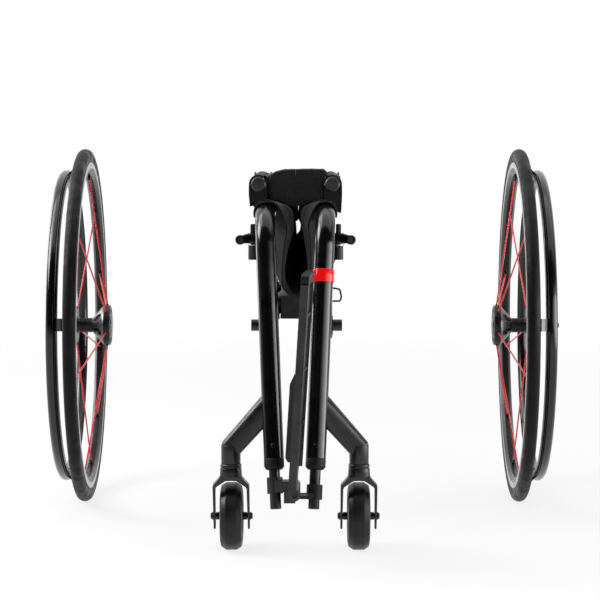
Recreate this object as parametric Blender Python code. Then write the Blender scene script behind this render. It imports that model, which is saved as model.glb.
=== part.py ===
"""Folding active wheelchair, folded, with its rear wheels drawn off the frame.

Metres, +Z up. The chair faces -Y, and +X is the sitter's left.
Frame shapes are drawn for the left side in chair coordinates: u outward from the
chair's middle, v backward from the rear axle, z up. The right side is their mirror image.
"""

import math

import bmesh
import bpy
from mathutils import Matrix, Vector

# General clearances
GAP = 0.0003
RUNNING = 0.0004
TUBE_SIDES = 16
SHARP = math.radians(38)

# Rear wheels
WHEEL_RADIUS = 0.295
WHEEL_STANCE = 0.362
WHEEL_SEGMENTS = 44
TYRE_WIDTH = 0.0215
TYRE_HEIGHT = 0.0218
RIM_WIDTH = 0.0194
RIM_DEPTH = 0.0186
RIM_TRACK = 0.0100
RIM_CROWN = 0.0100
SPOKE_COUNT = 12
SPOKE_RADIUS = 0.0013
HUB_SEGMENTS = 16
HUB_BARREL_RADIUS = 0.0126
HUB_INNER_REACH = 0.0435
HUB_OUTER_REACH = 0.0262
INNER_FLANGE_RADIUS = 0.0335
OUTER_FLANGE_RADIUS = 0.0328
INNER_FLANGE_WIDTH = 0.0115
OUTER_FLANGE_WIDTH = 0.0060
HUB_CONE_LENGTH = 0.0190
HANDRIM_RADIUS = 0.2505
HANDRIM_TUBE = 0.0095
HANDRIM_OFFSET = 0.0310
HANDRIM_TABS = 4
HANDRIM_TAB_WIDTH = 0.0200
HANDRIM_TAB_TURN = math.radians(-6.3)
PIN_RADIUS = 0.0063
PIN_TRAVEL = 0.0300
PIN_HEAD_RADIUS = 0.0115
PIN_HEAD_WIDTH = 0.0075
BUSH_WALL = 0.0025
BUTTON_RADIUS = 0.0041
BUTTON_REACH = 0.0050
BUTTON_TRAVEL = 0.0040

# Side frames
FRAME_X = -0.009
TUBE_RADIUS = 0.0150
SEAT_U = 0.0460
SEAT_Z = 0.5030
SEAT_REAR = 0.0750
KNEE_V = -0.3850
KNEE_RADIUS = 0.0480
LEG_FOOT = (0.0310, -0.4700, 0.1480)
STUB_RADIUS = 0.0082
STUB_BOTTOM = 0.0750
STUB_INSERT = 0.0450
SLEEVE_LENGTH = 0.0170
RAIL_RADIUS = 0.0120
RAIL_U = 0.0410
RAIL_Z = 0.3845
RAIL_REAR = 0.0200
BAND_Z = 0.4135
BAND_LENGTH = 0.0195
BAND_WALL = 0.0010
PLATE_INNER_U = 0.0535
PLATE_THICKNESS = 0.0060
PLATE_WAIST = 0.0240
PLATE_FOOT_RADIUS = 0.0220
PLATE_HOLES = ((0.4520, 0.0085), (0.3450, 0.0045))
RECEIVER_RADIUS = 0.0098
RECEIVER_INNER_U = 0.0460
RECEIVER_OUTER_U = 0.0762
CLAMP_WALL = 0.0032
CLAMP_LENGTH = 0.0280
LOOP_TOP = 0.3590
LOOP_BOTTOM = 0.3370
LOOP_REACH = 0.0150

# Casters
CASTER_U = 0.0958
CASTER_V = -0.4400
CASTER_RADIUS = 0.0510
CASTER_TRAIL = 0.0250
CASTER_WIDTH = 0.0344
CASTER_SEGMENTS = 24
CASTER_HUB_RADIUS = 0.0300
CASTER_HUB_WIDTH = 0.0300
FORK_WIDTH = 0.0550
FORK_ARM = 0.0040
FORK_DEPTH = 0.0200
FORK_TOP = 0.1165
FORK_TIP = 0.0295
HEAD_RADIUS = 0.0145
HEAD_BOTTOM = 0.1357
HEAD_TOP = 0.1640
STEM_RADIUS = 0.0050
STEM_TOP = 0.1560
CASTER_AXLE_RADIUS = 0.0045
CASTER_ARM_TOP = 0.2548
CASTER_ARM_FOOT = 0.2050
CASTER_ARM_CORNER = 0.1675
CASTER_ARM_CROTCH = 0.1490
CASTER_ARM_HALF = 0.0100

# Folding linkage
ARM_LENGTH = 0.1800
ARM_BOSS = 0.0105
ARM_WAIST = 0.0075
ARM_HEIGHT = 0.0250
ARM_WINDOW = 0.0120
FRAME_PIVOT_U = 0.0350
SPINE_PIVOT_U = 0.0120
FRONT_PIVOT_AHEAD = 0.0449
REAR_PIVOT_V = -0.1000
LINK_BOTTOM = 0.3385
LINK_TOP = 0.3735
LINK_PLATE = 0.0040
PIVOT_PIN = 0.0040
SPINE_HALF_WIDTH = 0.0235
SPINE_NOSE = 0.0050
OPEN_ANGLE = math.radians(69.45)

# Footplate
FOOT_U = -0.0001
FOOT_Z = 0.1110
FOOT_DEPTH = 0.0880
FOOT_SETBACK = 0.0071
FOOT_END_U = 0.0149
FOOT_ROOT = 0.0300
FOOT_RIM = 0.0058
FOOT_SKIN = 0.0020
FOOT_LEAN = math.radians(3.5)
FOOT_TWIST = math.radians(5.0)
FOOT_BARREL = 0.0088
FOOT_PIN = 0.0035
FOOT_CAP = 0.0150
HEEL_LENGTH = 0.1450
HEEL_HEIGHT = 0.0198
FOOT_HINGE_SETBACK = 0.0145
HINGE_LUG_HEIGHT = 0.0250
HINGE_LUG_WIDTH = 0.0160
HINGE_CLAMP_LENGTH = 0.0240
LEDGE_DEPTH = 0.0310
LEDGE_THICKNESS = 0.0045
LEDGE_CLAMP_LENGTH = 0.0220

# Brakes
BRAKE_U = 0.0666
BRAKE_Z = 0.4605
BRAKE_POST_RADIUS = 0.0078
BRAKE_POST_TOP = 0.4481
BRAKE_POST_BOTTOM = 0.4263
BRAKE_REACH = 0.0500
BRAKE_BAR_RADIUS = 0.0062
BRAKE_PAD_RADIUS = 0.0080
BRAKE_PAD_LENGTH = 0.0300
BRAKE_REST_ANGLE = math.radians(21.5)
BRAKE_LEVER_TOP = 0.4820

# Backrest
CANE_U = 0.0565
CANE_RADIUS = 0.0115
CANE_V = 0.0500
CANE_Z = 0.5375
CANE_FOOT = 0.0100
CANE_LENGTH = 0.3720
CANE_RISE = math.radians(1.5)
CHEEK_THICKNESS = 0.0030
CHEEK_HALF = 0.0140
BACK_FRONT_V = -0.3180
BACK_REAR_V = -0.0200
BACK_CLOTH = 0.0025
CURTAIN_BOTTOM = 0.4800
HUMP_Z = 0.5665
ROLL_DEPTH = 0.0280

# Seat sling
SLING_FRONT_V = -0.3420
SLING_REAR_V = -0.0200
SLING_CLOTH = 0.0025
SLING_BOTTOM = 0.3762
SLING_BELLY = 0.0220
SLING_LIP = 0.08

LEG_RAKE = (LEG_FOOT[1] - KNEE_V) / (LEG_FOOT[2] - SEAT_Z)
FOOT_REAR = LEG_FOOT[1] + (FOOT_Z - LEG_FOOT[2]) * LEG_RAKE - FOOT_SETBACK
FOOT_FRONT = FOOT_REAR - FOOT_DEPTH
FOOT_HINGE_REAR = FOOT_REAR - FOOT_HINGE_SETBACK
AXLE_Y = 0.5 * (-FOOT_FRONT - WHEEL_RADIUS)

# The swung-out brake pad just clears the tyre, and the linkage starts ahead of the brake
BRAKE_SWEEP = WHEEL_RADIUS / math.cos(math.pi / WHEEL_SEGMENTS) + BRAKE_PAD_RADIUS + GAP
BRAKE_V = -math.sqrt(BRAKE_SWEEP**2 - (BRAKE_Z - WHEEL_RADIUS) ** 2)
FRONT_PIVOT_V = BRAKE_V - FRONT_PIVOT_AHEAD

# How far a side frame moves outward when the chair opens, which the footplate has to span
ARM_REST_ANGLE = math.asin((FRAME_PIVOT_U - SPINE_PIVOT_U) / ARM_LENGTH)
OPEN_SINE = math.sin(ARM_REST_ANGLE + OPEN_ANGLE)
OPENING_TRAVEL = ARM_LENGTH * (OPEN_SINE - math.sin(ARM_REST_ANGLE))
FOOT_LENGTH = 2 * OPENING_TRAVEL + FOOT_END_U - FOOT_U

RIM_OUTER = WHEEL_RADIUS - TYRE_HEIGHT
RIM_INNER = RIM_OUTER - RIM_DEPTH
BUSH_BORE = PIN_RADIUS + GAP
BUSH_RADIUS = BUSH_BORE + BUSH_WALL
SIDES = {"left": 1, "right": -1}

PAINTS = {
    "gloss_black": ((0.012, 0.012, 0.014), 0.16, 0.0),
    "satin_black": ((0.020, 0.020, 0.022), 0.40, 0.0),
    "moulded_black": ((0.018, 0.018, 0.019), 0.55, 0.0),
    "grey_metal": ((0.16, 0.16, 0.165), 0.35, 0.8),
    "steel": ((0.55, 0.55, 0.57), 0.25, 1.0),
    "rim_alloy": ((0.06, 0.06, 0.065), 0.35, 0.6),
    "tyre_rubber": ((0.016, 0.016, 0.017), 0.75, 0.0),
    "spoke_red": ((0.62, 0.02, 0.025), 0.30, 0.2),
    "band_red": ((0.80, 0.01, 0.01), 0.25, 0.0),
    "black_cloth": ((0.010, 0.010, 0.011), 0.90, 0.0),
}

bodies = {}


# Scene set-up


def clear_scene():
    for old in list(bpy.data.objects):
        bpy.data.objects.remove(old)


def paint(name):
    material = bpy.data.materials.new(name)
    material.use_nodes = True
    shader = material.node_tree.nodes["Principled BSDF"]
    color, roughness, metallic = PAINTS[name]
    shader.inputs["Base Color"].default_value = (*color, 1.0)
    shader.inputs["Roughness"].default_value = roughness
    shader.inputs["Metallic"].default_value = metallic
    return material


def add_body(name, parent, point):
    """An empty on the body's joint, parented to the body that carries it."""
    axis = bpy.data.objects.new(f"{name}_axis", None)
    bpy.context.scene.collection.objects.link(axis)
    point = Vector(point)
    axis.location = point
    if parent:
        axis.parent = bodies[parent]["axis"]
        axis.location = point - bodies[parent]["point"]
    bodies[name] = {"axis": axis, "point": point}


def finish(name, shape, material, body, side=1, origin=None):
    """Makes the named object from a shape drawn for the left side."""
    if side < 0:
        bmesh.ops.scale(shape, vec=(-1, 1, 1), verts=shape.verts)
        bmesh.ops.reverse_faces(shape, faces=shape.faces)
    placed = Vector(origin if origin else (FRAME_X, AXLE_Y, 0.0))
    bmesh.ops.translate(shape, vec=placed - bodies[body]["point"], verts=shape.verts)
    mesh = bpy.data.meshes.new(name)
    shape.to_mesh(mesh)
    shape.free()
    mesh.shade_smooth()
    mesh.set_sharp_from_angle(angle=SHARP)
    mesh.materials.append(paint(material))
    piece = bpy.data.objects.new(name, mesh)
    bpy.context.scene.collection.objects.link(piece)
    piece.parent = bodies[body]["axis"]
    return piece


# Shape tools


def arc(centre, radius, start, end, steps):
    """Points of an arc, both ends included, with the angles in degrees."""
    points = []
    for k in range(steps + 1):
        angle = math.radians(start + (end - start) * k / steps)
        points.append(
            (centre[0] + radius * math.cos(angle), centre[1] + radius * math.sin(angle))
        )
    return points


def rounded_path(points, radius, steps):
    """A run of points whose inner corners are turned into arcs."""
    points = [Vector(p) for p in points]
    path = [points[0]]
    for before, corner, after in zip(points, points[1:], points[2:]):
        back = (before - corner).normalized()
        ahead = (after - corner).normalized()
        half = 0.5 * back.angle(ahead)
        centre = corner + (back + ahead).normalized() * radius / math.sin(half)
        first = corner + back * radius / math.tan(half) - centre
        last = corner + ahead * radius / math.tan(half) - centre
        for k in range(steps + 1):
            path.append(centre + first.slerp(last, k / steps) * radius)
    path.append(points[-1])
    return path


def rounded_outline(points, radius, steps=3):
    """A closed outline in a plane with every corner turned into an arc."""
    ring = [Vector((*p, 0.0)) for p in points]
    outline = []
    for k, corner in enumerate(ring):
        run = rounded_path([ring[k - 1], corner, ring[(k + 1) % len(ring)]], radius, steps)
        outline.extend((p.x, p.y) for p in run[1:-1])
    return outline


def prism(outline, low, high, axis):
    """A flat outline drawn out along one axis, from low to high."""
    places = {
        "x": lambda a, b, c: (c, a, b),
        "y": lambda a, b, c: (a, c, b),
        "z": lambda a, b, c: (a, b, c),
    }
    shape = bmesh.new()
    corners = [shape.verts.new(places[axis](a, b, low)) for a, b in outline]
    shape.faces.new(corners)
    moved = bmesh.ops.extrude_face_region(shape, geom=shape.faces[:])
    raised = [item for item in moved["geom"] if isinstance(item, bmesh.types.BMVert)]
    bmesh.ops.translate(shape, vec=places[axis](0.0, 0.0, high - low), verts=raised)
    bmesh.ops.recalc_face_normals(shape, faces=shape.faces)
    return shape


def box(low, high):
    outline = [(low[0], low[1]), (high[0], low[1]), (high[0], high[1]), (low[0], high[1])]
    return prism(outline, low[2], high[2], "z")


def turned(profile, segments, phase=0.0, closed=False):
    """A profile of (x, r) points spun about the X axis, starting from the top."""
    shape = bmesh.new()
    points = [shape.verts.new((x, 0.0, r)) for x, r in profile]
    for a, b in zip(points, points[1:]):
        shape.edges.new((a, b))
    if closed:
        shape.edges.new((points[-1], points[0]))
    bmesh.ops.spin(
        shape,
        geom=shape.verts[:] + shape.edges[:],
        cent=(0, 0, 0),
        axis=(1, 0, 0),
        angle=2 * math.pi,
        steps=segments,
        use_merge=True,
    )
    bmesh.ops.remove_doubles(shape, verts=shape.verts, dist=1e-6)
    centres = [v for v in shape.verts if math.hypot(v.co.y, v.co.z) < 1e-7]
    bmesh.ops.dissolve_verts(shape, verts=centres)
    bmesh.ops.recalc_face_normals(shape, faces=shape.faces)
    turn = Matrix.Rotation(phase, 3, "X")
    bmesh.ops.rotate(shape, cent=(0, 0, 0), matrix=turn, verts=shape.verts)
    return shape


def aimed(shape, direction, point):
    """Turns a shape's own X axis to a direction and sets it at a point."""
    turn = Vector(direction).to_track_quat("X", "Z").to_matrix()
    bmesh.ops.rotate(shape, cent=(0, 0, 0), matrix=turn, verts=shape.verts)
    bmesh.ops.translate(shape, vec=Vector(point), verts=shape.verts)
    return shape


def rod(start, end, radius, sides=TUBE_SIDES):
    start = Vector(start)
    run = Vector(end) - start
    profile = [(0.0, 0.0), (0.0, radius), (run.length, radius), (run.length, 0.0)]
    return aimed(turned(profile, sides, math.pi / sides), run, start)


def ring(inner, outer, length, direction, centre, sides=TUBE_SIDES):
    """A collar of the given length, centred on a point."""
    half = 0.5 * length
    profile = [(-half, inner), (-half, outer), (half, outer), (half, inner)]
    return aimed(turned(profile, sides, math.pi / sides, closed=True), direction, centre)


def tube(points, radius, resolution=6):
    """A round bar along a run of points."""
    curve = bpy.data.curves.new("tube", "CURVE")
    curve.dimensions = "3D"
    curve.bevel_depth = radius
    curve.bevel_resolution = resolution
    curve.use_fill_caps = True
    spline = curve.splines.new("POLY")
    spline.points.add(len(points) - 1)
    for knot, point in zip(spline.points, points):
        knot.co = (*point, 1.0)
    holder = bpy.data.objects.new("tube", curve)
    shape = evaluated(holder)
    bmesh.ops.remove_doubles(shape, verts=shape.verts, dist=1e-6)
    bmesh.ops.recalc_face_normals(shape, faces=shape.faces)
    return shape


def evaluated(holder, helpers=()):
    """The shape that an object's modifiers or bevel give it, as a new bmesh."""
    for item in (holder, *helpers):
        bpy.context.scene.collection.objects.link(item)
    graph = bpy.context.evaluated_depsgraph_get()
    mesh = bpy.data.meshes.new_from_object(holder.evaluated_get(graph))
    shape = bmesh.new()
    shape.from_mesh(mesh)
    bpy.data.meshes.remove(mesh)
    for item in (holder, *helpers):
        bpy.data.objects.remove(item)
    return shape


def boolean(base, tools, operation):
    """One solid from several, or one solid with others cut out of it."""
    items = []
    for shape in (base, *tools):
        mesh = bpy.data.meshes.new("step")
        shape.to_mesh(mesh)
        shape.free()
        items.append(bpy.data.objects.new("step", mesh))
    for helper in items[1:]:
        step = items[0].modifiers.new("step", "BOOLEAN")
        step.operation = operation
        step.solver = "EXACT"
        step.object = helper
    return evaluated(items[0], items[1:])


def joined(base, *others):
    return boolean(base, others, "UNION")


def cut(base, *tools):
    return boolean(base, tools, "DIFFERENCE")


def ribbon(path, thickness):
    """The closed outline of a strip of cloth that follows a path in a plane."""
    outer = []
    inner = []
    for k, point in enumerate(path):
        before = Vector(path[max(k - 1, 0)])
        after = Vector(path[min(k + 1, len(path) - 1)])
        along = (after - before).normalized()
        normal = Vector((-along.y, along.x)) * 0.5 * thickness
        outer.append(tuple(Vector(point) + normal))
        inner.append(tuple(Vector(point) - normal))
    return outer + inner[::-1]


def lofted(rings):
    """Skin over rings of matching points, closed at both ends."""
    shape = bmesh.new()
    rows = [[shape.verts.new(p) for p in points] for points in rings]
    for near, far in zip(rows, rows[1:]):
        for k, corner in enumerate(near):
            shape.faces.new((near[k - 1], corner, far[k], far[k - 1]))
    shape.faces.new(rows[0])
    shape.faces.new(rows[-1])
    bmesh.ops.recalc_face_normals(shape, faces=shape.faces)
    return shape


# Places that several pieces share


def knee_point():
    return Vector((SEAT_U, KNEE_V, SEAT_Z))


def leg_point(z):
    """The middle of the leg's line at a height."""
    knee = knee_point()
    foot = Vector(LEG_FOOT)
    share = (SEAT_Z - z) / (SEAT_Z - foot.z)
    return knee.lerp(foot, share)


def leg_direction():
    return (Vector(LEG_FOOT) - knee_point()).normalized()


def spine_pivot(frame_v):
    """The pivot on the spine of the arm whose frame pivot lies at frame_v."""
    return Vector((SPINE_PIVOT_U, frame_v + ARM_LENGTH * math.cos(ARM_REST_ANGLE), 0.0))


def wheel_centre(side):
    return Vector((side * WHEEL_STANCE, AXLE_Y, WHEEL_RADIUS))


def wheel_travel(side):
    """How far a wheel slides in before its hub meets the receiver."""
    seated = RECEIVER_OUTER_U + GAP + HUB_INNER_REACH
    return WHEEL_STANCE - side * FRAME_X - seated


def place(side, point):
    """A point of the left side in chair coordinates, as a world point on either side."""
    return Vector((FRAME_X + side * point[0], AXLE_Y + point[1], point[2]))


# Rear wheels


def flat_foot(radius):
    """The corner radius of a wheel whose flats, not corners, lie at the radius."""
    return radius / math.cos(math.pi / WHEEL_SEGMENTS)


def wheel_turned(profile):
    profile = [(x, flat_foot(r)) for x, r in profile]
    return turned(profile, WHEEL_SEGMENTS, math.pi / WHEEL_SEGMENTS, closed=True)


def tyre_shape():
    bead = RIM_OUTER + GAP
    tread = 0.5 * TYRE_WIDTH * math.sin(math.radians(70))
    crown = arc((0.0, WHEEL_RADIUS - tread), 0.5 * TYRE_WIDTH, -10, 190, 5)
    seat = 0.5 * TYRE_WIDTH - 0.0022
    return wheel_turned([*crown, (-seat, bead), (seat, bead)])


def rim_shape():
    edge = 0.5 * RIM_WIDTH
    crown = 0.5 * RIM_CROWN
    track = RIM_OUTER - RIM_TRACK
    profile = [
        (-edge, RIM_OUTER),
        (edge, RIM_OUTER),
        (edge, track),
        (crown, RIM_INNER),
        (-crown, RIM_INNER),
        (-edge, track),
    ]
    return wheel_turned(profile)


def hub_profile():
    bore = BUSH_RADIUS + 1.2 * RUNNING
    inner_end = -HUB_INNER_REACH
    disc = inner_end + 0.002
    cone = disc + INNER_FLANGE_WIDTH
    outer_face = HUB_OUTER_REACH - 0.0057
    outer_back = outer_face - OUTER_FLANGE_WIDTH
    return [
        (inner_end, bore),
        (inner_end, 0.0155),
        (disc, 0.0155),
        (disc, INNER_FLANGE_RADIUS),
        (cone, INNER_FLANGE_RADIUS),
        (cone + HUB_CONE_LENGTH, HUB_BARREL_RADIUS),
        (outer_back, HUB_BARREL_RADIUS),
        (outer_back, OUTER_FLANGE_RADIUS),
        (outer_face, OUTER_FLANGE_RADIUS),
        (outer_face, 0.0150),
        (HUB_OUTER_REACH, 0.0140),
        (HUB_OUTER_REACH, bore),
    ]


def spoke(number):
    """One spoke, from the flange that takes it to just short of the rim."""
    angle = math.radians(360 / SPOKE_COUNT) * (number + 0.5)
    outward = Vector((0.0, math.sin(angle), math.cos(angle)))
    if number % 2:
        hub_x = HUB_OUTER_REACH - 0.0057 - 0.5 * OUTER_FLANGE_WIDTH
        flange = OUTER_FLANGE_RADIUS
    else:
        hub_x = 0.002 + 0.5 * INNER_FLANGE_WIDTH - HUB_INNER_REACH
        flange = INNER_FLANGE_RADIUS
    start = Vector((hub_x, 0.0, 0.0)) + outward * (flange - 0.0065)
    end = outward * (RIM_INNER - 1.5 * GAP)
    return rod(start, end, SPOKE_RADIUS, 6)


def hub_shape():
    body = turned(hub_profile(), HUB_SEGMENTS, math.pi / HUB_SEGMENTS, closed=True)
    return joined(body, *[spoke(k) for k in range(SPOKE_COUNT)])


def handrim_shape():
    circle = arc((HANDRIM_OFFSET, HANDRIM_RADIUS), HANDRIM_TUBE, 0, 360, 7)[:-1]
    hoop = wheel_turned(circle)
    face = 0.5 * RIM_WIDTH + GAP
    low = RIM_OUTER - RIM_TRACK
    tab = [
        (face, low + 0.001),
        (face, RIM_OUTER - 0.001),
        (face + 0.003, RIM_OUTER - 0.001),
        (HANDRIM_OFFSET, HANDRIM_RADIUS + 0.004),
        (HANDRIM_OFFSET, HANDRIM_RADIUS - 0.004),
    ]
    tabs = []
    for k in range(HANDRIM_TABS):
        plate = prism(tab, -0.5 * HANDRIM_TAB_WIDTH, 0.5 * HANDRIM_TAB_WIDTH, "y")
        angle = 2 * math.pi * k / HANDRIM_TABS + HANDRIM_TAB_TURN
        turn = Matrix.Rotation(angle, 3, "X")
        bmesh.ops.rotate(plate, cent=(0, 0, 0), matrix=turn, verts=plate.verts)
        tabs.append(plate)
    return joined(hoop, *tabs)


def bush_shape():
    inner = -HUB_INNER_REACH
    outer = HUB_OUTER_REACH + GAP
    profile = [
        (inner, BUSH_BORE),
        (inner, BUSH_RADIUS),
        (outer, BUSH_RADIUS),
        (outer, BUSH_BORE),
    ]
    return turned(profile, HUB_SEGMENTS, closed=True)


def pin_head():
    """The inner face of the drawn-back pin's head."""
    return HUB_OUTER_REACH + 2 * GAP + PIN_TRAVEL


def pin_shape():
    tip = -HUB_INNER_REACH
    head = pin_head()
    end = head + PIN_HEAD_WIDTH
    bore = BUTTON_RADIUS + RUNNING
    floor = end - PIN_HEAD_WIDTH - BUTTON_TRAVEL - 0.004
    profile = [
        (tip, 0.0),
        (tip, PIN_RADIUS - 0.0018),
        (tip + 0.003, PIN_RADIUS),
        (head, PIN_RADIUS),
        (head, PIN_HEAD_RADIUS),
        (end - 0.002, PIN_HEAD_RADIUS),
        (end, PIN_HEAD_RADIUS - 0.002),
        (end, bore),
        (floor, bore),
        (floor, 0.0),
    ]
    return turned(profile, HUB_SEGMENTS)


def button_shape():
    inner = pin_head() - BUTTON_TRAVEL + 0.0005
    outer = pin_head() + PIN_HEAD_WIDTH + BUTTON_REACH
    profile = [
        (inner, 0.0),
        (inner, BUTTON_RADIUS),
        (outer - 0.001, BUTTON_RADIUS),
        (outer, BUTTON_RADIUS - 0.001),
        (outer, 0.0),
    ]
    return turned(profile, HUB_SEGMENTS)


def build_rear_wheel(name, side):
    centre = wheel_centre(side)
    add_body(f"{name}_hub_core", f"{name}_frame", centre)
    add_body(f"{name}_wheel", f"{name}_hub_core", centre)
    add_body(f"{name}_axle_pin", f"{name}_hub_core", centre)
    add_body(f"{name}_release", f"{name}_axle_pin", centre)
    pieces = [
        ("tyre", tyre_shape(), "tyre_rubber", "wheel"),
        ("rim", rim_shape(), "rim_alloy", "wheel"),
        ("spoked_hub", hub_shape(), "spoke_red", "wheel"),
        ("handrim", handrim_shape(), "gloss_black", "wheel"),
        ("hub_bush", bush_shape(), "steel", "hub_core"),
        ("axle_pin", pin_shape(), "steel", "axle_pin"),
        ("release_button", button_shape(), "grey_metal", "release"),
    ]
    for piece, shape, material, body in pieces:
        finish(f"{name}_{piece}", shape, material, f"{name}_{body}", side, centre)


# Side frames


def leg_bore():
    foot = Vector(LEG_FOOT)
    inward = -leg_direction()
    start = foot - inward * 0.01
    return rod(start, foot + inward * (STUB_INSERT + 0.004), STUB_RADIUS + RUNNING)


def caster_arm():
    """A box section that drops from the leg to the caster head and turns upright."""
    upper = leg_point(CASTER_ARM_TOP)
    lower = leg_point(CASTER_ARM_FOOT)
    depth = CASTER_ARM_HALF
    head_outer = CASTER_U + HEAD_RADIUS
    head_inner = CASTER_U - HEAD_RADIUS
    rings = [
        [
            (upper.x, upper.y - depth, upper.z),
            (upper.x, upper.y + depth, upper.z),
            (lower.x, lower.y + depth, lower.z),
            (lower.x, lower.y - depth, lower.z),
        ]
    ]
    for outer_z, inner_u, inner_z in (
        (CASTER_ARM_CORNER, head_inner + 0.0015, CASTER_ARM_CROTCH),
        (HEAD_BOTTOM + 0.002, head_inner + 0.0020, HEAD_BOTTOM + 0.002),
    ):
        outer_u = head_outer - 0.001
        rings.append(
            [
                (outer_u, CASTER_V - 1.2 * depth, outer_z),
                (outer_u, CASTER_V + 1.2 * depth, outer_z),
                (inner_u, CASTER_V + 1.2 * depth, inner_z),
                (inner_u, CASTER_V - 1.2 * depth, inner_z),
            ]
        )
    return lofted(rings)


def caster_head():
    foot = (CASTER_U, CASTER_V, HEAD_BOTTOM)
    return rod(foot, (CASTER_U, CASTER_V, HEAD_TOP), HEAD_RADIUS)


def stem_bore():
    low = (CASTER_U, CASTER_V, HEAD_BOTTOM - 0.01)
    return rod(low, (CASTER_U, CASTER_V, STEM_TOP - 0.0015), STEM_RADIUS + 1.5 * RUNNING)


def arm_bracket(pivot_v):
    """The channel under the rail that holds an arm's pivot pin."""
    web_inner = FRAME_PIVOT_U + ARM_BOSS + 0.001
    web_outer = web_inner + 0.005
    tip = FRAME_PIVOT_U - ARM_BOSS
    outline = [
        (web_outer, LINK_BOTTOM),
        (tip, LINK_BOTTOM),
        (tip, LINK_BOTTOM + LINK_PLATE),
        (web_inner, LINK_BOTTOM + LINK_PLATE),
        (web_inner, LINK_TOP - LINK_PLATE),
        (tip, LINK_TOP - LINK_PLATE),
        (tip, LINK_TOP),
        (web_inner, LINK_TOP),
        (web_inner, RAIL_Z),
        (web_outer, RAIL_Z),
    ]
    return prism(outline, pivot_v - 0.012, pivot_v + 0.012, "y")


def pivot_hole(u, v):
    low = (u, v, LINK_BOTTOM - 0.005)
    return rod(low, (u, v, LINK_TOP + 0.005), PIVOT_PIN + RUNNING)


def frame_shape():
    path = rounded_path(
        [(SEAT_U, SEAT_REAR, SEAT_Z), knee_point(), LEG_FOOT], KNEE_RADIUS, 6
    )
    rail_front = (RAIL_U, leg_point(RAIL_Z).y, RAIL_Z)
    rail = rod(rail_front, (RAIL_U, RAIL_REAR, RAIL_Z), RAIL_RADIUS)
    whole = joined(
        tube(path, TUBE_RADIUS),
        rail,
        arm_bracket(FRONT_PIVOT_V),
        arm_bracket(REAR_PIVOT_V),
        caster_arm(),
        caster_head(),
    )
    holes = [pivot_hole(FRAME_PIVOT_U, v) for v in (FRONT_PIVOT_V, REAR_PIVOT_V)]
    return cut(whole, leg_bore(), stem_bore(), *holes)


def sleeve_shape():
    """The collar that closes the leg and clamps the footrest stub."""
    bore = STUB_RADIUS + RUNNING
    profile = [
        (GAP, bore),
        (GAP, TUBE_RADIUS),
        (SLEEVE_LENGTH - 0.005, TUBE_RADIUS),
        (SLEEVE_LENGTH - 0.0015, TUBE_RADIUS - 0.0025),
        (SLEEVE_LENGTH, TUBE_RADIUS - 0.0045),
        (SLEEVE_LENGTH, bore),
    ]
    collar = turned(profile, TUBE_SIDES, math.pi / TUBE_SIDES, closed=True)
    return aimed(collar, leg_direction(), LEG_FOOT)


def stub_shape():
    top = Vector(LEG_FOOT) - leg_direction() * STUB_INSERT
    bottom = leg_point(STUB_BOTTOM)
    length = (bottom - top).length
    profile = [
        (0.0, 0.0),
        (0.0, STUB_RADIUS),
        (length - 0.0015, STUB_RADIUS),
        (length, STUB_RADIUS - 0.0015),
        (length, 0.0),
    ]
    bar = turned(profile, TUBE_SIDES, math.pi / TUBE_SIDES)
    return aimed(bar, leg_direction(), top)


def seat_plug_shape():
    profile = [
        (GAP, 0.0),
        (GAP, TUBE_RADIUS),
        (0.003, TUBE_RADIUS),
        (0.005, TUBE_RADIUS - 0.002),
        (0.005, 0.0),
    ]
    disc = turned(profile, TUBE_SIDES, math.pi / TUBE_SIDES)
    return aimed(disc, (0, 1, 0), (SEAT_U, SEAT_REAR, SEAT_Z))


def tube_clamp(u, z, v, radius, length):
    inner = (radius + GAP) / math.cos(math.pi / TUBE_SIDES)
    return ring(inner, radius + GAP + CLAMP_WALL, length, (0, 1, 0), (u, v, z))


def axle_plate_shape():
    outer = PLATE_INNER_U + PLATE_THICKNESS
    offset = PLATE_INNER_U - SEAT_U
    inner_radius = TUBE_RADIUS + GAP + 0.3 * CLAMP_WALL
    top = SEAT_Z - math.sqrt(inner_radius**2 - offset**2)
    foot = arc((0.0, WHEEL_RADIUS), PLATE_FOOT_RADIUS, 0, -180, 8)
    outline = [
        (-0.017, top),
        (0.017, top),
        (PLATE_WAIST, RAIL_Z + 0.012),
        *foot,
        (-PLATE_WAIST, RAIL_Z + 0.012),
    ]
    plate = prism(outline, PLATE_INNER_U, outer, "x")
    receiver = rod(
        (RECEIVER_INNER_U, 0.0, WHEEL_RADIUS),
        (RECEIVER_OUTER_U, 0.0, WHEEL_RADIUS),
        RECEIVER_RADIUS,
        HUB_SEGMENTS,
    )
    whole = joined(
        plate,
        receiver,
        tube_clamp(SEAT_U, SEAT_Z, 0.0, TUBE_RADIUS, CLAMP_LENGTH),
        tube_clamp(RAIL_U, RAIL_Z, 0.0, RAIL_RADIUS, CLAMP_LENGTH),
    )
    bore_start = (RECEIVER_INNER_U - 0.01, 0.0, WHEEL_RADIUS)
    bore_end = (RECEIVER_OUTER_U + 0.01, 0.0, WHEEL_RADIUS)
    bore = rod(bore_start, bore_end, PIN_RADIUS + 1.5 * RUNNING, HUB_SEGMENTS)
    holes = [
        rod((PLATE_INNER_U - 0.01, 0.0, z), (outer + 0.01, 0.0, z), radius, 12)
        for z, radius in PLATE_HOLES
    ]
    return cut(whole, bore, *holes)


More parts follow.
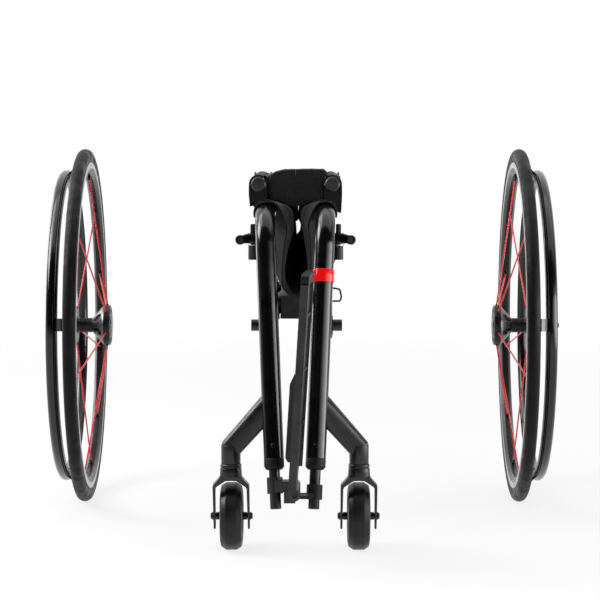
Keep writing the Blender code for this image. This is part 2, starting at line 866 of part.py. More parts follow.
def backrest_bracket_shape():
    cheek_gap = CANE_RADIUS + RUNNING
    inner_cheek = CANE_U - cheek_gap - CHEEK_THICKNESS
    outer_cheek = CANE_U + cheek_gap
    saddle = SEAT_Z + TUBE_RADIUS + GAP + 0.3 * CLAMP_WALL
    length = 2 * CHEEK_HALF
    collar = tube_clamp(SEAT_U, SEAT_Z, CANE_V, TUBE_RADIUS, length)
    top = arc((CANE_V, CANE_Z), 0.0125, 0, 180, 6)
    inner = [(CANE_V - CHEEK_HALF, saddle), (CANE_V + CHEEK_HALF, saddle), *top]
    foot = SEAT_Z - 0.004
    outer = [(CANE_V - CHEEK_HALF, foot), (CANE_V + CHEEK_HALF, foot), *top]
    shelf_inner = SEAT_U + TUBE_RADIUS + GAP + 0.5 * CLAMP_WALL
    shelf = box(
        (shelf_inner, CANE_V - CHEEK_HALF + 0.001, foot + 0.001),
        (outer_cheek + 0.5 * CHEEK_THICKNESS, CANE_V + CHEEK_HALF - 0.001, SEAT_Z + 0.008),
    )
    pin = rod(
        (inner_cheek + 0.001, CANE_V, CANE_Z),
        (outer_cheek + CHEEK_THICKNESS - 0.001, CANE_V, CANE_Z),
        PIVOT_PIN,
        12,
    )
    return joined(
        collar,
        prism(inner, inner_cheek, inner_cheek + CHEEK_THICKNESS, "x"),
        prism(outer, outer_cheek, outer_cheek + CHEEK_THICKNESS, "x"),
        shelf,
        pin,
    )


def brake_mount_shape():
    collar = tube_clamp(RAIL_U, RAIL_Z, BRAKE_V, RAIL_RADIUS, 0.016)
    post = rod(
        (BRAKE_U, BRAKE_V, BRAKE_POST_BOTTOM),
        (BRAKE_U, BRAKE_V, BRAKE_POST_TOP),
        BRAKE_POST_RADIUS,
    )
    saddle = RAIL_Z + RAIL_RADIUS + GAP + 0.4 * CLAMP_WALL
    neck = [
        (RAIL_U - 0.004, saddle),
        (RAIL_U + 0.0075, saddle - 0.0022),
        (BRAKE_U - 0.004, BRAKE_POST_BOTTOM + 0.001),
        (BRAKE_U - 0.004, BRAKE_POST_TOP - 0.003),
        (RAIL_U + 0.006, BRAKE_POST_TOP - 0.007),
    ]
    whole = joined(collar, post, prism(neck, BRAKE_V - 0.005, BRAKE_V + 0.005, "y"))
    bore = rod(
        (BRAKE_U, BRAKE_V, BRAKE_POST_BOTTOM + 0.003),
        (BRAKE_U, BRAKE_V, BRAKE_POST_TOP + 0.01),
        PIVOT_PIN + RUNNING,
        12,
    )
    return cut(whole, bore)


def colour_band():
    inner = (TUBE_RADIUS + GAP) / math.cos(math.pi / TUBE_SIDES)
    outer = inner + BAND_WALL
    return ring(inner, outer, BAND_LENGTH, leg_direction(), leg_point(BAND_Z))


def strap_loop():
    """A short pull loop on the left axle plate."""
    face = PLATE_INNER_U + PLATE_THICKNESS + GAP
    v = -0.014
    path = [
        (face, v, LOOP_TOP),
        (face + 0.83 * LOOP_REACH, v, LOOP_TOP - 0.0020),
        (face + LOOP_REACH, v, LOOP_BOTTOM + 0.0070),
        (face + 0.87 * LOOP_REACH, v, LOOP_BOTTOM),
        (face, v, LOOP_BOTTOM),
    ]
    return tube(rounded_path(path, 0.004, 2), 0.0017, 1)


def build_side_frame(name, side):
    pivot = place(side, (FRAME_PIVOT_U, FRONT_PIVOT_V, LINK_BOTTOM))
    add_body(f"{name}_frame", f"{name}_front_arm", pivot)
    pieces = [
        ("frame", frame_shape(), "gloss_black"),
        ("leg_sleeve", sleeve_shape(), "moulded_black"),
        ("footrest_stub", stub_shape(), "satin_black"),
        ("seat_tube_plug", seat_plug_shape(), "moulded_black"),
        ("axle_plate", axle_plate_shape(), "satin_black"),
        ("backrest_bracket", backrest_bracket_shape(), "satin_black"),
        ("brake_mount", brake_mount_shape(), "grey_metal"),
    ]
    for piece, shape, material in pieces:
        finish(f"{name}_{piece}", shape, material, f"{name}_frame", side)


# Casters


def fork_shape():
    """A forged crown with two arms that rake back to the axle."""
    half = 0.5 * FORK_WIDTH
    inner = half - FORK_ARM
    shoulder = FORK_TOP - 0.0125
    right = [
        (0.0, FORK_TOP - 0.0055),
        (0.4 * inner, FORK_TOP - 0.0062),
        (0.8 * inner, shoulder - 0.0010),
        (inner, shoulder - 0.0060),
        (inner, FORK_TIP),
        (half, FORK_TIP),
        (half, shoulder - 0.0030),
        (half - 0.0015, shoulder + 0.0020),
        (0.62 * half, FORK_TOP - 0.0020),
        (0.56 * half, FORK_TOP + 0.0010),
    ]
    left = [(-u, z) for u, z in reversed(right[1:])]
    shape = prism(right + left, -0.5 * FORK_DEPTH, 0.5 * FORK_DEPTH, "y")
    knee = shoulder - 0.0030
    rake = CASTER_TRAIL / (knee - CASTER_RADIUS)
    for corner in shape.verts:
        corner.co.y += max(0.0, knee - corner.co.z) * rake
    holes = rod(
        (-half - 0.01, CASTER_TRAIL, CASTER_RADIUS),
        (half + 0.01, CASTER_TRAIL, CASTER_RADIUS),
        CASTER_AXLE_RADIUS + RUNNING,
        12,
    )
    housing = [
        (0.0, 0.0),
        (0.0, HEAD_RADIUS + 0.0023),
        (0.0195, HEAD_RADIUS + 0.0023),
        (0.0195, HEAD_RADIUS + 0.0012),
        (HEAD_BOTTOM - GAP - FORK_TOP, HEAD_RADIUS + 0.0012),
        (HEAD_BOTTOM - GAP - FORK_TOP, STEM_RADIUS),
        (STEM_TOP - FORK_TOP - 0.004, STEM_RADIUS),
        (STEM_TOP - FORK_TOP - 0.004, 0.0),
    ]
    bearing = turned(housing, TUBE_SIDES, math.pi / TUBE_SIDES)
    bearing = aimed(bearing, (0, 0, 1), (0, 0, FORK_TOP))
    return joined(cut(shape, holes), bearing)


def caster_tyre_shape():
    bore = CASTER_HUB_RADIUS + GAP
    half = 0.5 * CASTER_WIDTH
    corner = 1 / math.cos(math.pi / CASTER_SEGMENTS)
    profile = [
        (-0.75 * half, bore),
        (-half, bore + 0.006),
        (-0.92 * half, CASTER_RADIUS - 0.0055),
        (-0.45 * half, CASTER_RADIUS),
        (0.45 * half, CASTER_RADIUS),
        (0.92 * half, CASTER_RADIUS - 0.0055),
        (half, bore + 0.006),
        (0.75 * half, bore),
    ]
    profile = [(x, r * corner) for x, r in profile]
    return turned(profile, CASTER_SEGMENTS, math.pi / CASTER_SEGMENTS, closed=True)


def caster_hub_shape():
    bore = CASTER_AXLE_RADIUS + 1.2 * RUNNING
    half = 0.5 * CASTER_HUB_WIDTH
    web = 0.3 * half
    profile = [
        (-half, bore),
        (-half, 0.0110),
        (-web, 0.0130),
        (-web, 0.0230),
        (-0.7 * half, CASTER_HUB_RADIUS),
        (0.7 * half, CASTER_HUB_RADIUS),
        (web, 0.0230),
        (web, 0.0130),
        (half, 0.0110),
        (half, bore),
    ]
    return turned(profile, CASTER_SEGMENTS, math.pi / CASTER_SEGMENTS, closed=True)


def caster_axle_shape():
    fork_inner = 0.5 * FORK_WIDTH - FORK_ARM - GAP
    hub_end = 0.5 * CASTER_HUB_WIDTH + GAP
    head = 0.5 * FORK_WIDTH + GAP
    profile = [
        (hub_end, CASTER_AXLE_RADIUS),
        (hub_end, 0.0059),
        (fork_inner, 0.0059),
        (fork_inner, CASTER_AXLE_RADIUS),
        (head, CASTER_AXLE_RADIUS),
        (head, 0.0065),
        (head + 0.0040, 0.0060),
        (head + 0.0040, 0.0),
    ]
    mirrored = [(-x, r) for x, r in reversed(profile)]
    return turned(mirrored + profile, 12)


def build_caster(name, side):
    stem = place(side, (CASTER_U, CASTER_V, 0.0))
    hub = stem + Vector((0.0, CASTER_TRAIL, CASTER_RADIUS))
    add_body(f"{name}_fork", f"{name}_frame", stem)
    add_body(f"{name}_caster", f"{name}_fork", hub)
    finish(f"{name}_caster_fork", fork_shape(), "satin_black", f"{name}_fork", side, stem)
    axle = caster_axle_shape()
    finish(f"{name}_caster_axle", axle, "steel", f"{name}_fork", side, hub)
    tyre = caster_tyre_shape()
    finish(f"{name}_caster_tyre", tyre, "tyre_rubber", f"{name}_caster", side, hub)
    wheel = caster_hub_shape()
    finish(f"{name}_caster_hub", wheel, "moulded_black", f"{name}_caster", side, hub)


# Folding linkage


def arm_shape():
    """A forged arm with a boss and a pivot pin at each end, from the spine forward."""
    waist = [
        (0.25 * ARM_LENGTH, ARM_WAIST),
        (0.75 * ARM_LENGTH, ARM_WAIST),
    ]
    near = arc((0.0, 0.0), ARM_BOSS, 60, 300, 7)
    far = arc((ARM_LENGTH, 0.0), ARM_BOSS, -120, 120, 7)
    outline = [*near, *[(x, -r) for x, r in waist], *far, *[(x, r) for x, r in waist[::-1]]]
    half = 0.5 * ARM_HEIGHT
    bar = prism(outline, -half, half, "z")
    window = rounded_outline(
        [
            (0.22 * ARM_LENGTH, -0.5 * ARM_WINDOW),
            (0.78 * ARM_LENGTH, -0.5 * ARM_WINDOW),
            (0.78 * ARM_LENGTH, 0.5 * ARM_WINDOW),
            (0.22 * ARM_LENGTH, 0.5 * ARM_WINDOW),
        ],
        0.45 * ARM_WINDOW,
        2,
    )
    opening = prism(window, -2 * ARM_BOSS, 2 * ARM_BOSS, "y")
    reach = 0.5 * (LINK_TOP - LINK_BOTTOM) - GAP
    pins = [rod((x, 0, -reach), (x, 0, reach), PIVOT_PIN, 12) for x in (0.0, ARM_LENGTH)]
    return joined(cut(bar, opening), *pins)


def build_arm(name, side, frame_v):
    pivot = spine_pivot(frame_v)
    pivot.z = 0.5 * (LINK_TOP + LINK_BOTTOM)
    add_body(name, "spine", place(side, pivot))
    forward = Vector((FRAME_PIVOT_U, frame_v, pivot.z)) - pivot
    shape = aimed(arm_shape(), forward, pivot)
    finish(name, shape, "grey_metal", name, side)


def web(front_v, rear_v, front_half, rear_half):
    """A wedge between the two plates that fits between the folded arms."""
    outline = [
        (-front_half, front_v),
        (front_half, front_v),
        (rear_half, rear_v),
        (-rear_half, rear_v),
    ]
    low = LINK_BOTTOM + 0.5 * LINK_PLATE
    return prism(outline, low, LINK_TOP - 0.5 * LINK_PLATE, "z")


def spine_shape():
    front = spine_pivot(FRONT_PIVOT_V).y
    rear = spine_pivot(REAR_PIVOT_V).y
    nose = FRONT_PIVOT_V - SPINE_NOSE
    tail = rear + ARM_BOSS + 0.003
    slab = rounded_outline(
        [
            (-SPINE_HALF_WIDTH, nose),
            (SPINE_HALF_WIDTH, nose),
            (SPINE_HALF_WIDTH, tail),
            (-SPINE_HALF_WIDTH, tail),
        ],
        0.004,
        2,
    )
    boss = ARM_BOSS + 0.002
    whole = joined(
        prism(slab, LINK_BOTTOM, LINK_BOTTOM + LINK_PLATE, "z"),
        prism(slab, LINK_TOP - LINK_PLATE, LINK_TOP, "z"),
        web(nose + 0.001, front - boss, 0.0218, 0.0025),
        web(front + boss, rear - boss - 0.010, 0.0218, 0.0040),
    )
    holes = [
        pivot_hole(side * SPINE_PIVOT_U, v) for side in (-1, 1) for v in (front, rear)
    ]
    slot = rounded_outline([(-0.005, -0.03), (0.005, -0.03), (0.005, 0.03), (-0.005, 0.03)], 0.0045, 2)
    middle = 0.5 * (front + rear)
    lightening = prism([(u, v + middle - 0.02) for u, v in slot], LINK_TOP - 0.010, LINK_TOP + 0.005, "z")
    return cut(whole, lightening, *holes)


# Footplate


def foot_turned(shape):
    """Lays a shape drawn along +X, foot side up, into the raised footplate's place."""
    middle = 0.5 * (FOOT_FRONT + FOOT_REAR)
    bmesh.ops.translate(shape, vec=(0, -middle, 0), verts=shape.verts)
    twist = Matrix.Rotation(FOOT_TWIST, 3, Vector((-1, 0, 0)))
    bmesh.ops.rotate(shape, cent=(0, 0, 0), matrix=twist, verts=shape.verts)
    bmesh.ops.translate(shape, vec=(0, middle, 0), verts=shape.verts)
    lift = Matrix.Rotation(FOOT_LEAN - 0.5 * math.pi, 3, "Y")
    bmesh.ops.rotate(shape, cent=(0, 0, 0), matrix=lift, verts=shape.verts)
    bmesh.ops.translate(shape, vec=(FOOT_U, 0, FOOT_Z), verts=shape.verts)
    return shape


def footplate_shape():
    end = FOOT_LENGTH - FOOT_CAP
    root = FOOT_ROOT
    skin = [
        (0.006, FOOT_FRONT + 0.002),
        (end, FOOT_FRONT + 0.002),
        (end, FOOT_REAR - 0.002),
        (root, FOOT_REAR - 0.002),
        (root, FOOT_HINGE_REAR - 0.002),
        (0.006, FOOT_HINGE_REAR - 0.002),
    ]
    parts = [prism(skin, -FOOT_SKIN, FOOT_SKIN, "z")]
    parts.append(box((0.0, FOOT_FRONT, -FOOT_RIM), (end, FOOT_FRONT + 0.008, FOOT_RIM)))
    parts.append(box((root, FOOT_REAR - 0.008, -FOOT_RIM), (end, FOOT_REAR, FOOT_RIM)))
    heel_front = FOOT_REAR - 0.0065
    heel = [
        (root + 0.004, 0.0),
        (root + HEEL_LENGTH, 0.0),
        (root + HEEL_LENGTH - 0.010, 0.7 * HEEL_HEIGHT),
        (root + HEEL_LENGTH - 0.025, HEEL_HEIGHT),
        (root + 0.010, HEEL_HEIGHT),
        (root + 0.004, 0.8 * HEEL_HEIGHT),
    ]
    parts.append(prism(heel, heel_front, heel_front + 0.004, "y"))
    for share in (0.30, 0.55, 0.80):
        s = share * FOOT_LENGTH
        parts.append(box((s, FOOT_FRONT + 0.004, -FOOT_RIM + 0.001), (s + 0.004, FOOT_REAR - 0.004, 0.0)))
    plate = foot_turned(joined(*parts))
    barrel = rod(
        (FOOT_U, FOOT_FRONT + 0.001, FOOT_Z), (FOOT_U, FOOT_HINGE_REAR, FOOT_Z), FOOT_BARREL
    )
    bore = rod(
        (FOOT_U, FOOT_FRONT - 0.010, FOOT_Z),
        (FOOT_U, FOOT_HINGE_REAR + 0.010, FOOT_Z),
        FOOT_PIN + 1.2 * RUNNING,
        12,
    )
    return cut(joined(plate, barrel), bore)


def footplate_cap_shape():
    start = FOOT_LENGTH - FOOT_CAP + GAP
    outline = rounded_outline(
        [
            (start, FOOT_FRONT),
            (FOOT_LENGTH, FOOT_FRONT),
            (FOOT_LENGTH, FOOT_REAR),
            (start, FOOT_REAR),
        ],
        0.006,
        3,
    )
    return foot_turned(prism(outline, -FOOT_RIM, FOOT_RIM, "z"))


def stub_clamp(z, length):
    inner = (STUB_RADIUS + GAP) / math.cos(math.pi / TUBE_SIDES)
    return ring(inner, inner + CLAMP_WALL, length, leg_direction(), leg_point(z))


def stub_bore():
    low = leg_point(STUB_BOTTOM)
    return rod(low, leg_point(LEG_FOOT[2]), (STUB_RADIUS + GAP) / math.cos(math.pi / TUBE_SIDES))


def footplate_hinge_shape():
    """Drawn for the left and mirrored, so the hinge axis lies at -FOOT_U."""
    axis_u = -FOOT_U
    stub = leg_point(FOOT_Z)
    front = FOOT_HINGE_REAR + GAP
    rear = stub.y - GAP
    link = box(
        (axis_u, front + 0.001, FOOT_Z - 0.0085),
        (stub.x, rear - 0.001, FOOT_Z + 0.0075),
    )
    lug = box(
        (axis_u - 0.001, front, FOOT_Z - HINGE_LUG_HEIGHT),
        (axis_u + HINGE_LUG_WIDTH, rear - 0.002, FOOT_Z - 0.0060),
    )
    barrel = rod((axis_u, front, FOOT_Z), (axis_u, rear, FOOT_Z), FOOT_BARREL)
    pin = rod((axis_u, FOOT_FRONT + 0.004, FOOT_Z), (axis_u, rear - 0.004, FOOT_Z), FOOT_PIN, 12)
    whole = joined(stub_clamp(FOOT_Z - 0.002, HINGE_CLAMP_LENGTH), link, lug, barrel, pin)
    return cut(whole, stub_bore())


def ledge_top():
    """Just under the lowered footplate's end, whose rear edge hangs lowest."""
    half_depth = 0.5 * (FOOT_REAR - FOOT_FRONT)
    return FOOT_Z - FOOT_RIM - half_depth * math.tan(FOOT_TWIST) - 0.0008


def footplate_receiver_shape():
    """The ledge on the left stub that carries the lowered footplate's free end."""
    end_u = FOOT_END_U
    front = FOOT_REAR - 0.003 - LEDGE_DEPTH
    top = ledge_top()
    rear = leg_point(top - LEDGE_THICKNESS).y - STUB_RADIUS - 0.3 * CLAMP_WALL
    outline = rounded_outline(
        [
            (end_u - 0.009, front),
            (end_u + 0.009, front),
            (leg_point(top).x - 0.001, rear),
            (end_u - 0.009, rear),
        ],
        0.002,
        2,
    )
    shelf = prism(outline, top - LEDGE_THICKNESS, top, "z")
    return joined(stub_clamp(top - 0.001, LEDGE_CLAMP_LENGTH), shelf)


def build_footplate():
    add_body("footplate", "right_frame", (FRAME_X + FOOT_U, AXLE_Y + FOOT_FRONT, FOOT_Z))
    finish("footplate", footplate_shape(), "satin_black", "footplate")
    finish("footplate_end_cap", footplate_cap_shape(), "moulded_black", "footplate")
    finish("footplate_hinge", footplate_hinge_shape(), "grey_metal", "right_frame", -1)
    finish("footplate_receiver", footplate_receiver_shape(), "moulded_black", "left_frame")


# Brakes


def brake_arm_shape():
    """A bar on a boss that turns on the mount, with the hand lever above it."""
    boss_bottom = BRAKE_POST_TOP + GAP
    boss_top = BRAKE_Z + BRAKE_BAR_RADIUS + 0.001
    boss = rod((0, 0, boss_bottom), (0, 0, boss_top), 0.0092)
    pin = rod((0, 0, BRAKE_POST_BOTTOM + 0.006), (0, 0, boss_top - 0.002), PIVOT_PIN, 12)
    bar = rod((0.0, 0.0, BRAKE_Z), (BRAKE_REACH, 0.0, BRAKE_Z), BRAKE_BAR_RADIUS)
    lever = [
        (-0.0055, boss_top - 0.004),
        (0.0055, boss_top - 0.004),
        (0.0050, BRAKE_LEVER_TOP),
        (-0.0040, BRAKE_LEVER_TOP),
    ]
    return joined(boss, pin, bar, prism(lever, -0.003, 0.003, "y"))


def brake_pad_shape():
    bore = (BRAKE_BAR_RADIUS + GAP) / math.cos(math.pi / TUBE_SIDES)
    start = BRAKE_REACH + 0.004 - BRAKE_PAD_LENGTH
    end = BRAKE_REACH + 0.004
    profile = [
        (BRAKE_REACH + GAP, 0.0),
        (BRAKE_REACH + GAP, bore),
        (start, bore),
        (start, BRAKE_PAD_RADIUS),
        (end - 0.002, BRAKE_PAD_RADIUS),
        (end, BRAKE_PAD_RADIUS - 0.002),
        (end, 0.0),
    ]
    sleeve = turned(profile, TUBE_SIDES, math.pi / TUBE_SIDES)
    bmesh.ops.translate(sleeve, vec=(0, 0, BRAKE_Z), verts=sleeve.verts)
    return sleeve


def build_brake(name, side):
    pivot = Vector((BRAKE_U, BRAKE_V, 0.0))
    add_body(f"{name}_brake", f"{name}_frame", place(side, pivot))
    turn = Matrix.Rotation(BRAKE_REST_ANGLE - 0.5 * math.pi, 3, "Z")
    for piece, shape, material in (
        ("brake_lever", brake_arm_shape(), "satin_black"),
        ("brake_pad", brake_pad_shape(), "moulded_black"),
    ):
        bmesh.ops.rotate(shape, cent=(0, 0, 0), matrix=turn, verts=shape.verts)
        bmesh.ops.translate(shape, vec=pivot, verts=shape.verts)
        finish(f"{name}_{piece}", shape, material, f"{name}_brake", side)


# Backrest


def cane_point(distance):
    """A point on the folded cane's middle line, measured from its pivot."""
    return Vector(
        (
            CANE_U,
            CANE_V - distance * math.cos(CANE_RISE),
            CANE_Z + distance * math.sin(CANE_RISE),
        )
    )


def cane_shape():
    bar = rod(cane_point(-CANE_FOOT), cane_point(CANE_LENGTH), CANE_RADIUS)
    reach = CANE_RADIUS + 0.01
    hole = rod(
        (CANE_U - reach, CANE_V, CANE_Z),
        (CANE_U + reach, CANE_V, CANE_Z),
        PIVOT_PIN + RUNNING,
        12,
    )
    return cut(bar, hole)


def cane_plug_shape():
    profile = [
        (GAP, 0.0),
        (GAP, CANE_RADIUS),
        (0.004, CANE_RADIUS),
        (0.006, CANE_RADIUS - 0.0025),
        (0.006, 0.0),
    ]
    disc = turned(profile, TUBE_SIDES, math.pi / TUBE_SIDES)
    return aimed(disc, cane_point(1.0) - cane_point(0.0), cane_point(CANE_LENGTH))


def sheared(shape, rise, pivot_v):
    """Tilts a strip so that it follows the cane's rise."""
    for corner in shape.verts:
        corner.co.z += (pivot_v - corner.co.y) * math.tan(rise)
    return shape


def back_cloth_shape():
    """Half of the slack back: a sleeve round the cane, a hump, and a fold that hangs inside.

    Its front end is rolled up into a solid bundle between the cane and the sling.
    """
    over = CANE_RADIUS + GAP + 0.6 * BACK_CLOTH
    sleeve = arc((CANE_U, CANE_Z), over, 0, 118, 5)
    hang_u = GAP + 0.5 * BACK_CLOTH
    hump = HUMP_Z - (CANE_V - 0.5 * (BACK_FRONT_V + BACK_REAR_V)) * math.tan(CANE_RISE)
    path = [
        (CANE_U + over - 0.0010, CANE_Z - 0.034),
        (CANE_U + over + 0.0005, CANE_Z - 0.016),
        *sleeve,
        (0.0380, hump - 0.0015),
        (0.0240, hump),
        (0.0100, hump - 0.0005),
        (hang_u + 0.0020, hump - 0.0060),
        (hang_u, hump - 0.0180),
        (hang_u, 0.5 * (hump + CURTAIN_BOTTOM)),
        (hang_u, CURTAIN_BOTTOM),
    ]
    strip = prism(ribbon(path, BACK_CLOTH), BACK_FRONT_V, BACK_REAR_V, "y")
    shelf = SEAT_Z + TUBE_RADIUS + SLING_CLOTH + 0.0023 - (CANE_V - BACK_FRONT_V) * math.tan(CANE_RISE)
    bundle = [
        (hang_u, hump - 0.0100),
        (0.0090, hump - 0.0010),
        (0.0240, hump - 0.0004),
        (0.0380, hump - 0.0018),
        (CANE_U - over + 0.0018, CANE_Z + 0.0105),
        (CANE_U - over - 0.0003, CANE_Z - 0.0045),
        (CANE_U - over + 0.0008, shelf),
        (0.0300, shelf),
        (0.0250, shelf - 0.0050),
        (0.0100, shelf - 0.0110),
        (hang_u, shelf - 0.0140),
    ]
    roll = prism(bundle, BACK_FRONT_V, BACK_FRONT_V + ROLL_DEPTH, "y")
    return sheared(joined(strip, roll), CANE_RISE, CANE_V)


def build_backrest(name, side):
    pivot = place(side, (CANE_U, CANE_V, CANE_Z))
    add_body(f"{name}_backrest", f"{name}_frame", pivot)
    add_body(f"{name}_back_cloth", f"{name}_backrest", pivot)
    cane = f"{name}_backrest"
    finish(f"{name}_backrest_cane", cane_shape(), "satin_black", cane, side)
    finish(f"{name}_cane_plug", cane_plug_shape(), "grey_metal", cane, side)
    cloth = back_cloth_shape()
    finish(f"{name}_back_upholstery", cloth, "black_cloth", f"{name}_back_cloth", side)


# Seat sling


def sling_path(share):
    """The slack sling's section, from the tube's outer side to the middle of its belly.

    share runs from 0 at the front hem to 1 at the rear. The hem hangs open as a loose U.
    Behind the lip the two halves lie against each other, and the belly flattens to the rear.
    """
    over = TUBE_RADIUS + GAP + 0.6 * SLING_CLOTH
    wrap = arc((SEAT_U, SEAT_Z), over, -20, 104, 6)
    pinch = BACK_CLOTH + 2 * GAP + 0.6 * SLING_CLOTH
    bottom = SLING_BOTTOM + 0.5 * SLING_CLOTH
    open_share = max(0.0, 1.0 - share / SLING_LIP)
    belly = SLING_BELLY * (1.0 - 0.55 * share) - 0.5 * SLING_CLOTH
    drop = [
        (0.0265, 0.0265, SEAT_Z + 0.0110),
        (0.0185, pinch + 0.0032, SEAT_Z + 0.0040),
        (0.0150, pinch, SEAT_Z - 0.0150),
        (0.0140, pinch, SEAT_Z - 0.0330),
        (0.0160, 0.35 * pinch + 0.30 * belly, SEAT_Z - 0.0600),
    ]
    low = [
        (belly, bottom + 0.0290),
        (0.86 * belly, bottom + 0.0110),
        (0.45 * belly, bottom + 0.0016),
        (0.15 * belly, bottom),
        (GAP, bottom),
    ]
    sides = [(shut + (loose - shut) * open_share, z) for loose, shut, z in drop]
    return [*wrap, *sides, *low]


def sling_shape():
    stations = [0.0, SLING_LIP, 0.25, 0.5, 0.75, 1.0]
    rings = []
    for share in stations:
        v = SLING_FRONT_V + (SLING_REAR_V - SLING_FRONT_V) * share
        rings.append([(u, v, z) for u, z in ribbon(sling_path(share), SLING_CLOTH)])
    return lofted(rings)


def build_sling(name, side):
    pivot = place(side, (SEAT_U, SLING_FRONT_V, SEAT_Z))
    add_body(f"{name}_sling", f"{name}_frame", pivot)
    finish(f"{name}_seat_sling", sling_shape(), "black_cloth", f"{name}_sling", side)


def main():
    clear_scene()
    add_body("spine", None, place(1, (0.0, spine_pivot(FRONT_PIVOT_V).y, LINK_BOTTOM)))
    finish("spine_beam", spine_shape(), "grey_metal", "spine")
    for name, side in SIDES.items():
        build_arm(f"{name}_front_arm", side, FRONT_PIVOT_V)
        build_arm(f"{name}_rear_arm", side, REAR_PIVOT_V)
        build_side_frame(name, side)
        build_caster(name, side)
        build_rear_wheel(name, side)
        build_brake(name, side)
        build_backrest(name, side)
        build_sling(name, side)
    finish("left_colour_band", colour_band(), "band_red", "left_frame")
    finish("left_pull_loop", strap_loop(), "moulded_black", "left_frame")
    build_footplate()


main()
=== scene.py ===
"""Folding active wheelchair, folded, rear wheels drawn off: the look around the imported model.

Metres, +Z up. The chair faces -Y, and +X is the sitter's left. Shapes are drawn for the left
side in chair coordinates: u outward, v backward from the rear axle, z up.
"""

from math import asin, atan2, copysign, cos, degrees, exp, hypot, pi, radians, sin, sqrt, tan

import bmesh
import bpy
from mathutils import Matrix, Vector, noise


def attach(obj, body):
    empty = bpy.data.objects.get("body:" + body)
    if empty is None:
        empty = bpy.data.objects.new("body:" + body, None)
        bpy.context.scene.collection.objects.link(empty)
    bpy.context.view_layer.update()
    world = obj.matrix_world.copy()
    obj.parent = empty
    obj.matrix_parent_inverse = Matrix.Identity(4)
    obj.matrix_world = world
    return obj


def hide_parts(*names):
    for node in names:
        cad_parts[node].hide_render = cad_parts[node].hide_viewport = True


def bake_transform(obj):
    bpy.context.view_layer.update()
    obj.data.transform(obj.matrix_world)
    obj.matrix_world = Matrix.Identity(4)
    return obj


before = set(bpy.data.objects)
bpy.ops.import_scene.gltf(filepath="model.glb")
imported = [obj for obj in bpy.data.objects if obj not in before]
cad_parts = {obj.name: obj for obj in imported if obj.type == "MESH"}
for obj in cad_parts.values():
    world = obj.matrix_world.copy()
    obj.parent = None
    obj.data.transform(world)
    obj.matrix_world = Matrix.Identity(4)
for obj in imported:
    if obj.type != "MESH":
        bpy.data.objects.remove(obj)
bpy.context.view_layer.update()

# The CAD source's dimensions
GAP = 0.0003
RUNNING = 0.0004
WHEEL_RADIUS = 0.295
WHEEL_STANCE = 0.362
TYRE_WIDTH = 0.0215
TYRE_HEIGHT = 0.0218
RIM_WIDTH = 0.0194
RIM_DEPTH = 0.0186
RIM_TRACK = 0.01
RIM_CROWN = 0.01
SPOKE_COUNT = 12
SPOKE_RADIUS = 0.0013
HUB_BARREL_RADIUS = 0.0126
HUB_INNER_REACH = 0.0435
HUB_OUTER_REACH = 0.0262
INNER_FLANGE_RADIUS = 0.0335
OUTER_FLANGE_RADIUS = 0.0328
INNER_FLANGE_WIDTH = 0.0115
OUTER_FLANGE_WIDTH = 0.006
HUB_CONE_LENGTH = 0.019
HANDRIM_RADIUS = 0.2505
HANDRIM_TUBE = 0.0095
HANDRIM_OFFSET = 0.031
HANDRIM_TABS = 4
HANDRIM_TAB_WIDTH = 0.02
HANDRIM_TAB_TURN = radians(-6.3)
PIN_RADIUS = 0.0063
PIN_TRAVEL = 0.03
PIN_HEAD_RADIUS = 0.0115
PIN_HEAD_WIDTH = 0.0075
BUTTON_RADIUS = 0.0041
BUTTON_REACH = 0.005
BUTTON_TRAVEL = 0.004
FRAME_X = -0.009
TUBE_RADIUS = 0.015
SEAT_U = 0.046
SEAT_Z = 0.503
SEAT_REAR = 0.075
KNEE_V = -0.385
KNEE_SWEEP = 0.056
LEG_FOOT = (0.031, -0.47, 0.148)
STUB_RADIUS = 0.0082
STUB_BOTTOM = 0.075
STUB_INSERT = 0.045
SLEEVE_LENGTH = 0.017
RAIL_RADIUS = 0.012
RAIL_U = 0.041
RAIL_Z = 0.3845
RAIL_REAR = 0.02
BAND_Z = 0.4135
BAND_LENGTH = 0.0195
BAND_WALL = 0.001
PLATE_INNER_U = 0.0535
PLATE_THICKNESS = 0.006
LOOP_TOP = 0.359
LOOP_BOTTOM = 0.337
LOOP_REACH = 0.015
CASTER_U = 0.0958
CASTER_V = -0.44
CASTER_RADIUS = 0.051
CASTER_TRAIL = 0.025
CASTER_WIDTH = 0.0344
CASTER_HUB_RADIUS = 0.03
CASTER_HUB_WIDTH = 0.03
FORK_WIDTH = 0.055
FORK_ARM = 0.004
FORK_DEPTH = 0.02
FORK_TOP = 0.1165
FORK_TIP = 0.0295
HEAD_RADIUS = 0.0145
HEAD_BOTTOM = 0.1357
HEAD_TOP = 0.164
CASTER_AXLE_RADIUS = 0.0045
CASTER_ARM_TOP = 0.2548
CASTER_ARM_FOOT = 0.205
CASTER_ARM_CORNER = 0.1675
CASTER_ARM_CROTCH = 0.149
CASTER_ARM_HALF = 0.01
ARM_LENGTH = 0.18
ARM_BOSS = 0.0105
FRAME_PIVOT_U = 0.035
SPINE_PIVOT_U = 0.012
REAR_PIVOT_V = -0.1
LINK_BOTTOM = 0.3385
LINK_TOP = 0.3735
LINK_PLATE = 0.004
FOOT_Z = 0.111
FOOT_SETBACK = 0.0071
FOOT_DEPTH = 0.088
BRAKE_U = 0.0666
BRAKE_Z = 0.4605
BRAKE_V = -0.2551
BRAKE_POST_TOP = 0.4481
BRAKE_REACH = 0.05
BRAKE_BAR_RADIUS = 0.0062
BRAKE_PAD_RADIUS = 0.008
BRAKE_PAD_LENGTH = 0.03
BRAKE_REST_ANGLE = radians(21.5)
BRAKE_LEVER_TOP = 0.482
CANE_U = 0.0565
CANE_RADIUS = 0.0115
CANE_V = 0.05
CANE_Z = 0.5375
